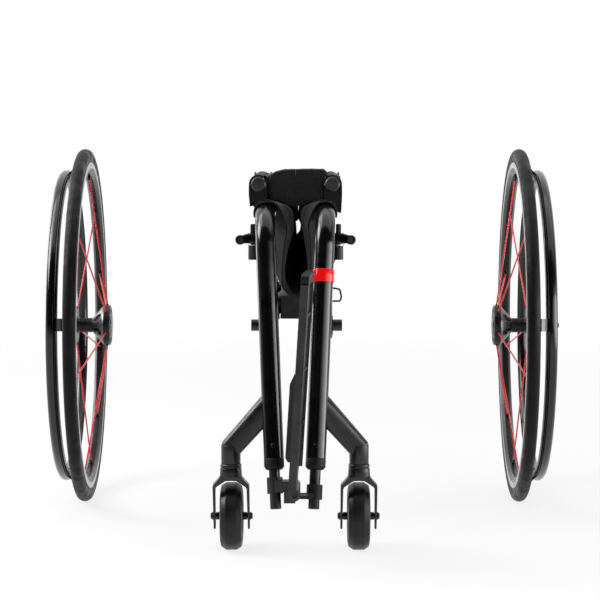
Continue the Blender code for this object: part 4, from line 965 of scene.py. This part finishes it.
def end_plug(radius, reach, lip, round_edge):
    """A domed plug for the end of a tube, standing on the Y-Z plane."""
    profile = [(GAP, 0), (GAP, radius), (reach - 0.002, radius), (reach, radius - lip), (reach, 0)]
    return turned(profile, round_edge)


def build_side_frame(name):
    add = maker(name, f"{name}_frame")
    add("main_tube", seat_and_leg(), "lacquer", "frame")
    rail_front = (RAIL_U, leg_point(RAIL_Z).y + 0.004, RAIL_Z)
    add("lower_rail", bar(rail_front, (RAIL_U, RAIL_REAR, RAIL_Z), RAIL_RADIUS), "lacquer")
    add("caster_arm", caster_arm(), "satin", bevel=0.0012, smooth=28)
    head = [Vector((CASTER_U, CASTER_V, z)) for z in (HEAD_BOTTOM, HEAD_TOP)]
    add("caster_head", bar(*head, HEAD_RADIUS, 0.0010), "satin")
    for k, v in enumerate((FRONT_PIVOT_V, REAR_PIVOT_V), 1):
        add(f"arm_bracket_{k}", arm_bracket(v), "satin", bevel=0.0008)
        point = (FRAME_PIVOT_U, v, LINK_BOTTOM)
        screw(add, f"bracket_screw_{k}", point, (0, 0, -1), 0.0068, 0.0026)
    bead = lathe(arc((0.0, RAIL_RADIUS + 0.0003), 0.0016, 0, 360, 10)[:-1], ROUND, True)
    bead_v = leg_point(RAIL_Z).y + 0.0165
    add("rail_weld", aimed(bead, (0, 1, 0), (RAIL_U, bead_v, RAIL_Z)), "lacquer")
    add("leg_collar", leg_collar(), "moulded", "leg_sleeve")
    stub_top = Vector(LEG_FOOT) - leg_direction() * STUB_INSERT
    stub = bar(stub_top, leg_point(STUB_BOTTOM), STUB_RADIUS, 0.0014)
    add("footrest_bar", stub, "satin", "footrest_stub")
    point, facing = leg_front(LEG_SCREW_Z)
    screw(add, "leg_screw", point - facing * 0.0006, facing, 0.0036, 0.0020)
    plug = end_plug(TUBE_RADIUS, 0.005, 0.002, 0.0006)
    plug = aimed(plug, (0, 1, 0), (SEAT_U, SEAT_REAR, SEAT_Z))
    add("seat_plug", plug, "moulded", "seat_tube_plug")
    dress(f"{name}_axle_plate", "satin", 0.0007)
    dress(f"{name}_backrest_bracket", "satin")
    dress(f"{name}_brake_mount", "clamp_grey")
    face = PLATE_INNER_U + PLATE_THICKNESS
    holes = [(v, z) for z in (0.479, 0.398, 0.371) for v in (-0.012, 0.012)]
    for k, (v, z) in enumerate(holes, 1):
        screw(add, f"plate_screw_{k}", (face, v, z), (1, 0, 0), 0.0042, 0.0024)
    washer = collar(0.01, 0.0165, 0.0012, (1, 0, 0), (face + 0.0006, 0, WHEEL_RADIUS))
    add("receiver_washer", washer, "dark_steel")
    cheek = CANE_U + CANE_RADIUS + RUNNING + 0.003
    screw(add, "cane_pivot_screw", (cheek, CANE_V, CANE_Z), (1, 0, 0), 0.0062, 0.0026)


def build_left_details():
    add = maker("left", "left_frame")
    inner = TUBE_RADIUS + GAP
    at = leg_point(BAND_Z)
    band = collar(inner, inner + BAND_WALL, BAND_LENGTH, leg_direction(), at, 0.0004)
    add("red_band", band, "band_red", "colour_band")
    face = PLATE_INNER_U + PLATE_THICKNESS + GAP
    outline = [
        (0.0, LOOP_TOP), (0.83, LOOP_TOP - 0.002), (1.0, LOOP_BOTTOM + 0.007),
        (0.87, LOOP_BOTTOM), (0.0, LOOP_BOTTOM),
    ]
    path = [(face + share * LOOP_REACH, LOOP_V, z) for share, z in outline]
    loop = sweep(rounded_path(path, 0.004, 8), 0.0015, 20)
    add("loop_cord", loop, "webbing", "pull_loop")


# Casters


def fork():
    """A thin arched crown whose arms rake back to the axle."""
    half = 0.5 * FORK_WIDTH
    inner = half - FORK_ARM
    shoulder = FORK_TOP - 0.0125
    knee = shoulder - 0.003
    right = [
        (0.0, FORK_TOP - 0.0062), (0.35 * inner, FORK_TOP - 0.0066),
        (0.92 * inner, shoulder - 0.003), (inner, shoulder - 0.006), (inner, knee - 0.004),
        (inner + 0.0008, FORK_TIP + 0.002), (inner + 0.0014, FORK_TIP), (half - 0.0008, FORK_TIP),
        (half, FORK_TIP + 0.002), (half, knee), (half - 0.0007, shoulder - 0.0002),
        (0.78 * half, FORK_TOP - 0.007), (0.62 * half, FORK_TOP - 0.0012),
        (0.575 * half, FORK_TOP + 0.0015),
    ]
    outline = right + mirrored(right[1:])
    shape = prism(outline, -0.5 * FORK_DEPTH, 0.5 * FORK_DEPTH)
    rake = CASTER_TRAIL / (knee - CASTER_RADIUS)
    for corner in shape.verts:
        low = clamp((CASTER_RADIUS - corner.co.z) / (CASTER_RADIUS - FORK_TIP))
        corner.co.y = corner.co.y * (1 - 0.35 * low) + max(0.0, knee - corner.co.z) * rake
    return shape


def fork_bearing():
    outer = HEAD_RADIUS + 0.0023
    seat = HEAD_BOTTOM - GAP - FORK_TOP
    profile = [
        (-0.002, 0.0), (-0.002, outer - 0.001), (0.0, outer), (0.006, outer - 0.0006),
        (0.0125, outer - 0.0008), (0.013, outer - 0.0022), (0.014, outer - 0.0022),
        (0.0145, outer - 0.0008), (seat - 0.0012, outer - 0.0011), (seat, outer - 0.0022),
        (seat, 0.0),
    ]
    return aimed(turned(profile, 0.0005, 72, 2), (0, 0, 1), (0, 0, FORK_TOP))


def caster_tyre():
    """A tyre with a flat tread, chamfered shoulders and slightly hollow sidewalls."""
    bore = CASTER_HUB_RADIUS + GAP
    half = 0.5 * CASTER_WIDTH
    right = [
        (0.46 * half, CASTER_RADIUS), (0.9 * half, CASTER_RADIUS - 0.005),
        (0.985 * half, CASTER_RADIUS - 0.0115), (half, bore + 0.0065), (0.93 * half, bore + 0.002),
        (0.8 * half, bore),
    ]
    return turned(mirrored(right) + right, 0.0035, 96, 6, True)


def caster_hub():
    bore = CASTER_AXLE_RADIUS + 1.2 * RUNNING
    half = 0.5 * CASTER_HUB_WIDTH
    web = 0.3 * half
    right = [
        (0.7 * half, CASTER_HUB_RADIUS), (0.68 * half, CASTER_HUB_RADIUS - 0.0018), (web, 0.023),
        (web, 0.013), (half, 0.011), (half, bore),
    ]
    body = turned(mirrored(right) + right, 0.0008, 80, closed=True)
    rib = [(web + 0.0035, 0.0255), (web + 0.0035, 0.0125)]
    ribs = around(lambda: prism(mirrored(rib) + rib, -0.0013, 0.0013), angles(5))
    return together(body, *ribs)


def caster_axle():
    """The bolt across the fork, with a spacer and a hexagon head on either side of the wheel."""
    spacer = 0.5 * FORK_WIDTH - FORK_ARM - GAP
    hub_end = 0.5 * CASTER_HUB_WIDTH + GAP
    head = 0.5 * FORK_WIDTH + GAP
    right = [
        (hub_end, CASTER_AXLE_RADIUS), (hub_end, 0.0059), (spacer, 0.0059),
        (spacer, CASTER_AXLE_RADIUS), (head, CASTER_AXLE_RADIUS), (head, 0.0062),
        (head + 0.001, 0.0062), (head + 0.0012, 0.0054), (head + 0.0036, 0.0046),
        (head + 0.004, 0.0038), (head + 0.004, 0.0),
    ]
    count = len(right)
    flats = (1, 2, 3, count + 7, count + 8, count + 9)
    return lathe(mirrored(right) + right, 36, flats=flats)


def build_caster(name, side):
    stem = place(side, (CASTER_U, CASTER_V, 0.0))
    hub_point = stem + Vector((0.0, CASTER_TRAIL, CASTER_RADIUS))
    add = maker(name, f"{name}_fork", stem)
    add("fork_arms", fork(), "satin", "caster_fork", bevel=0.0010, smooth=25)
    add("fork_bearing", fork_bearing(), "satin")
    add("fork_axle", caster_axle(), "dark_steel", "caster_axle", at=hub_point)
    add = maker(name, f"{name}_caster", hub_point)
    add("caster_tread", caster_tyre(), "caster_rubber", "caster_tyre", smooth=60)
    add("caster_core", caster_hub(), "moulded", "caster_hub")


# Brakes


def brake_sleeve():
    """A ribbed foam sleeve along X, wider at both ends."""
    end = BRAKE_REACH + 0.004
    start = end - BRAKE_PAD_LENGTH
    lip = BRAKE_PAD_RADIUS - 0.0006
    waist = BRAKE_PAD_RADIUS - 0.0014
    groove = waist - 0.0006
    profile = [(start, 0.0), (start, lip), (start + 0.002, lip), (start + 0.003, waist)]
    for k in range(1, 5):
        at = start + 0.0045 + 0.0041 * k
        profile += [(at - 0.0007, waist), (at - 0.0003, groove)]
        profile += [(at + 0.0003, groove), (at + 0.0007, waist)]
    profile += [
        (end - 0.006, waist), (end - 0.005, lip), (end - 0.001, lip), (end, lip - 0.001),
        (end, 0.0044), (end - 0.0006, 0.0038), (end - 0.0006, 0.0),
    ]
    return lathe(profile, 48)


def build_brake(name):
    turn = Matrix.Rotation(BRAKE_REST_ANGLE - 0.5 * pi, 3, "Z")
    make = maker(name, f"{name}_brake")

    def add(piece, shape, finish, *nodes, **more):
        make(piece, moved(rotated(shape, turn), (BRAKE_U, BRAKE_V, 0.0)), finish, *nodes, **more)

    low = BRAKE_POST_TOP + GAP
    top = BRAKE_Z + BRAKE_BAR_RADIUS + 0.001
    step = [(0, 0.0092), (0.0022, 0.0092), (0.0022, 0.0074), (0.003, 0.0074)]
    washer = turned([(0, 0), *step, (0.003, 0)], 0.0004)
    add("brake_washer", aimed(washer, (0, 0, 1), (0, 0, low)), "steel")
    boss = bar((0, 0, low + 0.0032), (0, 0, top), 0.0088, 0.0012)
    add("brake_boss", boss, "satin", "brake_lever")
    add("brake_bar", bar((0, 0, BRAKE_Z), (BRAKE_REACH, 0, BRAKE_Z), BRAKE_BAR_RADIUS), "satin")
    lever = [
        (-0.0054, top - 0.004), (0.0054, top - 0.004), (0.0046, top + 0.003),
        (0.0048, BRAKE_LEVER_TOP), (-0.004, BRAKE_LEVER_TOP), (-0.0042, top + 0.003),
    ]
    add("brake_grip", prism(soft(lever, 0.0020, 4, True), -0.003, 0.003), "moulded", bevel=0.0012)
    add("brake_sleeve", moved(brake_sleeve(), (0, 0, BRAKE_Z)), "foam", "brake_pad")


# Backrest and cloth


def ribbon(path, thickness):
    outer = []
    inner = []
    for k, point in enumerate(path):
        before = Vector(path[max(k - 1, 0)])
        after = Vector(path[min(k + 1, len(path) - 1)])
        along = (after - before).normalized()
        normal = Vector((-along.y, along.x)) * 0.5 * thickness
        outer.append(tuple(Vector(point) + normal))
        inner.append(tuple(Vector(point) - normal))
    return outer + inner[::-1]


def spaced(points, count):
    """Evenly spaced points along a run of points."""
    points = [Vector(p) for p in points]
    reach = [0.0]
    for a, b in zip(points, points[1:]):
        reach.append(reach[-1] + (b - a).length)
    chosen = []
    at = 0
    for k in range(count):
        goal = reach[-1] * k / (count - 1)
        while at < len(reach) - 2 and reach[at + 1] < goal:
            at += 1
        share = (goal - reach[at]) / max(1e-9, reach[at + 1] - reach[at])
        chosen.append(tuple(points[at].lerp(points[at + 1], min(1.0, share))))
    return chosen


def smooth_path(points, count):
    """Evenly spaced points on a smooth curve through the given ones."""
    points = [Vector(p) for p in points]
    dense = []
    for k in range(len(points) - 1):
        p0 = points[max(k - 1, 0)]
        p1 = points[k]
        p2 = points[k + 1]
        p3 = points[min(k + 2, len(points) - 1)]
        for j in range(12):
            t = j / 12
            square = (2 * p0 - 5 * p1 + 4 * p2 - p3) * t * t
            cube = (3 * p1 - p0 - 3 * p2 + p3) * t**3
            dense.append(0.5 * (2 * p1 + (p2 - p0) * t + square + cube))
    dense.append(points[-1])
    return spaced(dense, count)


def cloth(path_at, front, rear, plain, thick, count, ripple=None):
    """A closed strip of cloth over section paths set along v, with soft ripples."""
    length = rear - front
    rings = []
    for share in stations(length):
        outline = ribbon(smooth_path(path_at(share), count), hem(share, length, plain, thick))
        points = []
        for k, (u, z) in enumerate(outline):
            along = k if k < count else 2 * count - 1 - k
            shift = ripple(share, along / (count - 1)) if ripple else (0.0, 0.0)
            points.append((u + shift[0], front + length * share, z + shift[1]))
        rings.append(points)
    return lofted(rings)


def hem(share, length, plain, thick):
    """Cloth thickness along v: doubled and stitched down near both ends."""
    edge = min(share, 1 - share) * length
    for limit, size in ((0.0012, thick * 0.75), (0.0125, thick), (0.0145, plain * 0.8)):
        if edge < limit:
            return size
    return plain


def stations(length):
    """Places along a cloth, closer together at the hems."""
    near = [0.0, 0.0006, 0.0016, 0.006, 0.0118, 0.0126, 0.0134, 0.0146, HEM_ZONE]
    shares = [x / length for x in near]
    shares += [HEM_ZONE / length + (1 - 2 * HEM_ZONE / length) * k / 44 for k in range(1, 44)]
    return shares + [1 - x / length for x in reversed(near)]


def wrinkle(seed, size, scale):
    def shift(share, along):
        point = Vector((share * scale, along * 3.1, seed))
        fall = min(1.0, 6 * min(share, 1 - share) + 0.25)
        other = noise.noise(point + Vector((9.2, 3.3, 1.7)))
        return size * fall * noise.noise(point), 0.4 * size * fall * other

    return shift


def sheared(shape):
    """A shape drawn level, leant as the folded cane leans."""
    for corner in shape.verts:
        corner.co.z += (CANE_V - corner.co.y) * LEAN
    return shape


def blended(side, near, far, heights):
    return (near, far, *[place(side, (0.0, 0.0, z)) for z in heights])


# The rolled-up end of the back, seen from the front: its outline from the middle outward
HUMP = HUMP_Z - (CANE_V - 0.5 * (BACK_FRONT_V + BACK_REAR_V)) * LEAN
SHELF = SEAT_Z + TUBE_RADIUS + SLING_CLOTH + 0.0023 - (CANE_V - BACK_FRONT_V) * LEAN
ROLL_TOP = (0.0001, HUMP - 0.0002)
ROLL_FOOT = [
    (0.043, SHELF), (0.03, SHELF), (0.025, SHELF - 0.003), (0.01, SHELF - 0.0075),
    (0.0001, SHELF - 0.0105),
]
ROLL_EDGE = {1: 0.052, -1: 0.0375}
ROLLS = {
    1: [
        ROLL_TOP, (0.024, HUMP + 0.0002), (0.0435, HUMP), (0.0505, HUMP - 0.0068),
        (0.0462, HUMP - 0.0122), (0.0436, HUMP - 0.027), *ROLL_FOOT,
    ],
    -1: [
        ROLL_TOP, (0.016, HUMP - 0.0004), (0.03, HUMP - 0.0036), (0.0385, HUMP - 0.0085),
        (0.0447, HUMP - 0.013), (0.0443, HUMP - 0.027), *ROLL_FOOT,
    ],
}
STRIPS = {
    1: [(0.0484, 0.5493), (0.0455, 0.551), (0.04, HUMP - 0.0035), (0.024, HUMP - 0.0018)],
    -1: [
        (0.0484, 0.5493), (0.044, 0.5482), (0.0395, 0.549), (0.033, HUMP - 0.0085),
        (0.022, HUMP - 0.004),
    ],
}


def back_roll(side):
    """The rolled end of the back: a soft slab with rounded edges, a fold and an uneven face."""
    outline = spaced(soft(ROLLS[side], 0.005, 6), 90)
    top, bottom = outline[0][1], outline[-1][1]
    outline += [(0.0001, bottom + (top - bottom) * k / 16) for k in range(1, 16)]
    middle = 0.5 * (HUMP + SHELF)
    front = BACK_FRONT_V
    layers = [(ROLL_DEPTH - 0.0001, 0.95), (ROLL_DEPTH - 0.002, 1.0)]
    layers += [(ROLL_DEPTH * (0.9 - 0.1 * k), 1.0) for k in range(7)]
    layers += [(0.0038, 0.997), (0.0020, 0.985), (0.0009, 0.967), (0.0003, 0.945), (0.0001, 0.92)]
    layers += [(0.0, 0.92 - 0.06 * k) for k in range(1, 15)]
    rings = []
    for depth, size in layers:
        seam = 0.0001 + side * 0.0008 * clamp((depth / ROLL_DEPTH - 0.3) * 4)
        v = front + depth
        rings.append([(max(seam, u * size), v, middle + (z - middle) * size) for u, z in outline])
    shape = lofted(rings)
    for corner in shape.verts:
        u, v, z = corner.co
        across = side * u
        point = Vector((across * 60, z * 60, 4.0))
        face = 0.001 + 0.001 * noise.noise(point) + 0.0004 * noise.noise(point * 3.1)
        if 0.0 < across < 0.03:
            off = (z - 0.53) * 0.9 + (across - 0.012) * 0.36
            face += 0.0007 * exp(-((off / 0.0011) ** 2))
        edge = clamp((u - ROLL_EDGE[side]) / 0.0025)
        face += 0.0045 * edge * edge * (3 - 2 * edge)
        corner.co.y += face * clamp(1 - (v - front) / 0.01)
        uneven = 0.0004 * noise.noise(Vector((across * 90, v * 70, 1.0)))
        corner.co.z += uneven * clamp(4 * (v - front - 0.002) / ROLL_DEPTH)
    return sheared(shape)


def sleeve_tail(side):
    """The slack front end of the sleeve, stuffed between the cane and the seat tube."""
    seat = (SEAT_U, SEAT_Z - (CANE_V - BACK_FRONT_V) * LEAN)
    low = SLEEVE_LOW[side]
    inner = CANE_U - CANE_RADIUS - 0.0008
    outer = CANE_U + CANE_RADIUS + 0.0002
    outline = [(inner, CANE_Z - 0.001), (inner, seat[1] + 0.02)]
    outline += arc(seat, 0.0193, 94, 28, 8)
    outline += [(outer - 0.0034, low + 0.002), (outer - 0.0012, low + 0.001)]
    outline += [(outer - 0.0004, CANE_Z - 0.02)]
    outline += arc((CANE_U, CANE_Z), CANE_RADIUS + 0.0006, -12, -172, 12)
    outline = spaced(outline + outline[:1], 97)[:-1]
    rings = []
    insets = ((0.020, 0.0006), (0.016, 0.0), (0.0036, 0.0), (0.0020, 0.0003), (0.0012, 0.0009))
    for depth, inset in insets:
        points = []
        for k, (u, z) in enumerate(outline):
            ahead = Vector(outline[(k + 1) % 96]) - Vector(outline[k - 1])
            inward = Vector((ahead.y, -ahead.x)).normalized() * inset
            points.append((u + inward.x, BACK_FRONT_V + depth, z + inward.y))
        rings.append(points)
    return sheared(lofted(rings))


def build_backrest(name, side):
    body = f"{name}_backrest"
    add = maker(name, body)
    cane_end = cane_point(CANE_LENGTH)
    cane = bar(cane_point(-CANE_FOOT), cane_end, CANE_RADIUS)
    add("cane_tube", cane, "satin", "backrest_cane")
    plug = end_plug(CANE_RADIUS, 0.006, 0.0022, 0.001)
    plug = aimed(plug, cane_point(1) - cane_point(0), cane_end)
    add("cane_cap", plug, "clamp_grey", "cane_plug")
    over = CANE_RADIUS + GAP + 0.6 * BACK_CLOTH
    path = [(CANE_U + over - 0.0012, SLEEVE_LOW[side]), (CANE_U + over + 0.0003, CANE_Z - 0.016)]
    path += [*arc((CANE_U, CANE_Z), over, 0, 112, 8), (0.0492, 0.5495)]
    ends = (BACK_FRONT_V, BACK_REAR_V)
    ripple = wrinkle(3.0 + side, 0.0006, 9.0)
    shape = sheared(cloth(lambda share: path, *ends, BACK_CLOTH, 0.003, 44, ripple))
    sleeve = add("back_sleeve", shape, "cloth", "back_upholstery", smooth=70)
    roll = add("back_roll", back_roll(side), "cloth", "back_upholstery", smooth=80)
    tail = add("sleeve_tail", sleeve_tail(side), "cloth", "back_upholstery", smooth=80)
    hang = GAP + 0.5 * BACK_CLOTH
    level = [
        *STRIPS[side], (0.01, HUMP - 0.0018), (hang + 0.002, HUMP - 0.0065),
        (hang, HUMP - 0.018), (hang, 0.5 * (HUMP + CURTAIN_BOTTOM)), (hang, CURTAIN_BOTTOM),
    ]

    def path_at(share):
        """The strip sinks toward the rear, except where it joins the sleeve."""
        drop = STRIP_DROP * share
        return [(u, z - drop * clamp((0.046 - u) / 0.01)) for u, z in level]

    def ripple_at(share, along):
        return 0.0, 0.0004 * noise.noise(Vector((share * 8, along * 4, side)))

    ends = (BACK_FRONT_V + ROLL_DEPTH + 0.0006, BACK_REAR_V)
    shape = sheared(cloth(path_at, *ends, BACK_CLOTH, 0.0026, 60, ripple_at))
    blend = blended(side, body, f"{name}_back_cloth", STRIP_HEIGHTS)
    strip = add("back_strip", shape, "cloth", smooth=70, blend=blend)


# The slack sling inside the tubes: its front hem, where its halves meet, its wide bag, its rear
SLING_SHARES = (0.0, 0.0745, 0.28, 0.62, 1.0)
SLING_BAG = (
    (0.0400, 0.0338, 0.0302, 0.0301, 0.0345, 0.0352, 0.0345, 0.0300, 0.0240, 0.0110),
    (0.0400, 0.0338, 0.0302, 0.0300, 0.0320, 0.0300, 0.0250, 0.0160, 0.0100, 0.0050),
)
SLINGS = {
    1: (
        (0.0395, 0.0320, 0.0243, 0.0205, 0.0209, 0.0230, 0.0240, 0.0225, 0.0190, 0.0090),
        (0.0340, 0.0220, 0.0130, 0.0098, 0.0105, 0.0120, 0.0150, 0.0185, 0.0190, 0.0090),
        *SLING_BAG,
        (0.0340, 0.0180, 0.0070, 0.0046, 0.0032, 0.0080, 0.0064, 0.0009, 0.0008, 0.0008),
    ),
    -1: (
        (0.0375, 0.0275, 0.0192, 0.0142, 0.0134, 0.0160, 0.0192, 0.0205, 0.0185, 0.0090),
        (0.0340, 0.0200, 0.0095, 0.0046, 0.0046, 0.0036, 0.0085, 0.0150, 0.0175, 0.0090),
        *SLING_BAG,
        (0.0340, 0.0180, 0.0070, 0.0046, 0.0032, 0.0020, 0.0012, 0.0009, 0.0008, 0.0008),
    ),
}
SLING_HEIGHTS = (
    (0.5222, 0.5162, 0.5017, 0.4868, 0.4739, 0.4600, 0.4350, 0.4090, 0.3900, 0.3795),
    (0.5197, 0.5160, 0.5115, 0.5030, 0.4900, 0.4775, 0.4600, 0.4340, 0.4050, 0.3850),
    (0.5186, 0.5150, 0.5070, 0.4972, 0.4850, 0.4700, 0.4380, 0.4110, 0.3900, 0.3795),
    (0.5186, 0.5150, 0.5070, 0.4970, 0.4850, 0.4680, 0.4400, 0.4130, 0.3920, 0.3805),
    (0.5196, 0.5150, 0.5070, 0.4900, 0.4780, 0.4670, 0.4550, 0.4460, 0.4150, 0.3850),
)


def sling_path(share, side):
    """The section from the tube's outer side to the middle; the front hem stands off the tube."""
    over = TUBE_RADIUS + GAP + 0.6 * SLING_CLOTH
    lift = 0.0045 * max(0.0, 1 - share / 0.068) ** 1.5
    path = []
    for u, z in arc((SEAT_U, SEAT_Z), over, -20, 102, 9):
        path.append((u, z + lift * max(0.0, (z - SEAT_Z) / over)))
    key = 0
    while key < 3 and share > SLING_SHARES[key + 1]:
        key += 1
    mix = (share - SLING_SHARES[key]) / (SLING_SHARES[key + 1] - SLING_SHARES[key])
    mix = mix * mix * (3 - 2 * mix)
    near, far = SLINGS[side][key : key + 2]
    near_z, far_z = SLING_HEIGHTS[key : key + 2]
    for a, b, c, d in zip(near, far, near_z, far_z):
        path.append((a + (b - a) * mix, c + (d - c) * mix))
    closed = mix if key == 3 else 0.0
    bottom = SLING_BOTTOM + 0.5 * SLING_CLOTH
    path.append((0.003 - 0.0022 * closed, bottom + 0.001 * closed))
    return path + [(GAP + 0.0005 * closed, bottom)]


def build_sling(name, side):
    ends = (SLING_FRONT_V, SLING_REAR_V)
    shape = cloth(lambda share: sling_path(share, side), *ends, SLING_CLOTH, 0.0029, 72)
    blend = blended(side, f"{name}_frame", f"{name}_sling", SLING_BLEND_HEIGHTS)
    add = maker(name, f"{name}_frame")
    sling = add("sling_cloth", shape, "cloth", "seat_sling", smooth=70, blend=blend)


# Linkage and footplate


def build_linkage():
    dress("spine_beam", "mechanism")
    for k, frame_v in enumerate((FRONT_PIVOT_V, REAR_PIVOT_V), 1):
        v = spine_pivot_v(frame_v)
        for name in SIDES:
            add = maker(name, "spine")
            low = (SPINE_PIVOT_U, v, LINK_BOTTOM)
            screw(add, f"spine_screw_{k}", low, (0, 0, -1), 0.0066, 0.0026)
            high = (SPINE_PIVOT_U, v, LINK_TOP)
            screw(add, f"spine_cap_{k}", high, (0, 0, 1), 0.0060, 0.0014)
    for name in SIDES:
        for arm in ("front", "rear"):
            dress(f"{name}_{arm}_arm", "mechanism", 0.0008)


def build_footplate():
    dress("footplate", "plate_grey", 0.0007, 25)
    dress("footplate_end_cap", "moulded", 0.0010, 25)
    dress("footplate_hinge", "clamp_grey", angle=25)
    dress("footplate_receiver", "moulded", angle=25)


# Camera, light and floor


def add_floor():
    """A pale floor that fades to white away from the chair and keeps its shadow."""
    bpy.ops.mesh.primitive_plane_add(size=40, location=(0, 0, 0))
    floor = bpy.context.object
    floor.name = "floor"
    made = new_material("floor", [FLOOR_COLOR] * 3, 0.95, 0.0, 0.0)
    reach = node(made, "ShaderNodeVectorMath", operation="LENGTH")
    wire(made, coordinates(made), reach.inputs[0])
    fade = ramp(made, reach.outputs["Value"], FLOOR_GLOW, 1.0, 0.7, 2.6)
    path = node(made, "ShaderNodeLightPath").outputs
    seen = maths(made, "MAXIMUM", path["Is Camera Ray"], path["Is Glossy Ray"])
    glow = node(made, "ShaderNodeEmission", Color=(1, 1, 1, 1), Strength=1.0)
    mix = node(made, "ShaderNodeMixShader")
    nodes = made.node_tree.nodes
    wire(made, maths(made, "MULTIPLY", seen, fade), mix.inputs[0])
    wire(made, nodes["Principled BSDF"].outputs[0], mix.inputs[1])
    wire(made, glow.outputs[0], mix.inputs[2])
    wire(made, mix.outputs[0], nodes["Material Output"].inputs["Surface"])
    floor.data.materials.append(made)


def add_world():
    """White behind the chair, a dim studio in front of it."""
    world = bpy.data.worlds.new("studio")
    bpy.context.scene.world = world
    world.use_nodes = True
    path = node(world, "ShaderNodeLightPath").outputs
    parts = axes(world, node(world, "ShaderNodeTexCoord").outputs["Generated"])
    behind = ramp(world, parts["Y"], 0.0, 1.0, -0.1, 0.6)
    glossy = maths(world, "MULTIPLY", path["Is Glossy Ray"], behind)
    seen = maths(world, "MAXIMUM", path["Is Camera Ray"], path["Is Transmission Ray"])
    level = ramp(world, path["Is Glossy Ray"], WORLD_LEVEL, STUDIO_LEVEL, 0.0, 1.0)
    strength = ramp(world, maths(world, "MAXIMUM", seen, glossy), 0.0, 1.0, 0.0, 1.0)
    wire(world, level, strength.node.inputs["To Min"])
    sky = world.node_tree.nodes["Background"]
    sky.inputs["Color"].default_value = (1, 1, 1, 1)
    wire(world, strength, sky.inputs["Strength"])


def add_light(name, location, target, size, radiance, roll=0.0, faded=False):
    """A softbox of a given radiance; a faded one grows brighter along its length."""
    data = bpy.data.lights.new(name, "AREA")
    data.shape = "RECTANGLE"
    data.size, data.size_y = size
    data.energy = radiance * pi * size[0] * size[1]
    light = linked(name, data)
    light.location = location
    light.visible_camera = False
    aim = Vector(target) - Vector(location)
    turn = aim.to_track_quat("-Z", "Y").to_matrix() @ Matrix.Rotation(roll, 3, "Z")
    light.rotation_euler = turn.to_euler()
    if faded:
        data.use_nodes = True
        parts = axes(data, node(data, "ShaderNodeNewGeometry").outputs["Parametric"])
        square = maths(data, "POWER", parts["X"], 2.0)
        capped = maths(data, "MINIMUM", square, FADE_LIMIT)
        wire(data, capped, data.node_tree.nodes["Emission"].inputs["Strength"])


def add_camera():
    data = bpy.data.cameras.new("camera")
    data.sensor_fit = "HORIZONTAL"
    data.sensor_width = SENSOR
    data.lens = SENSOR * FOCAL_PIXELS / PICTURE_PIXELS
    camera = linked("camera", data)
    camera.location = CAMERA_POINT
    camera.rotation_euler = (0.5 * pi - CAMERA_PITCH, 0.0, CAMERA_PAN)
    bpy.context.scene.camera = camera


def main():
    add_camera()
    for name, side in SIDES.items():
        build_rear_wheel(name, side)
        build_side_frame(name)
        build_caster(name, side)
        build_brake(name)
        build_backrest(name, side)
        build_sling(name, side)
    build_left_details()
    build_linkage()
    build_footplate()
    add_floor()
    add_world()
    for name, lamp in LAMPS.items():
        add_light(name, *lamp)
    bpy.context.scene.view_settings.view_transform = "Standard"


main()
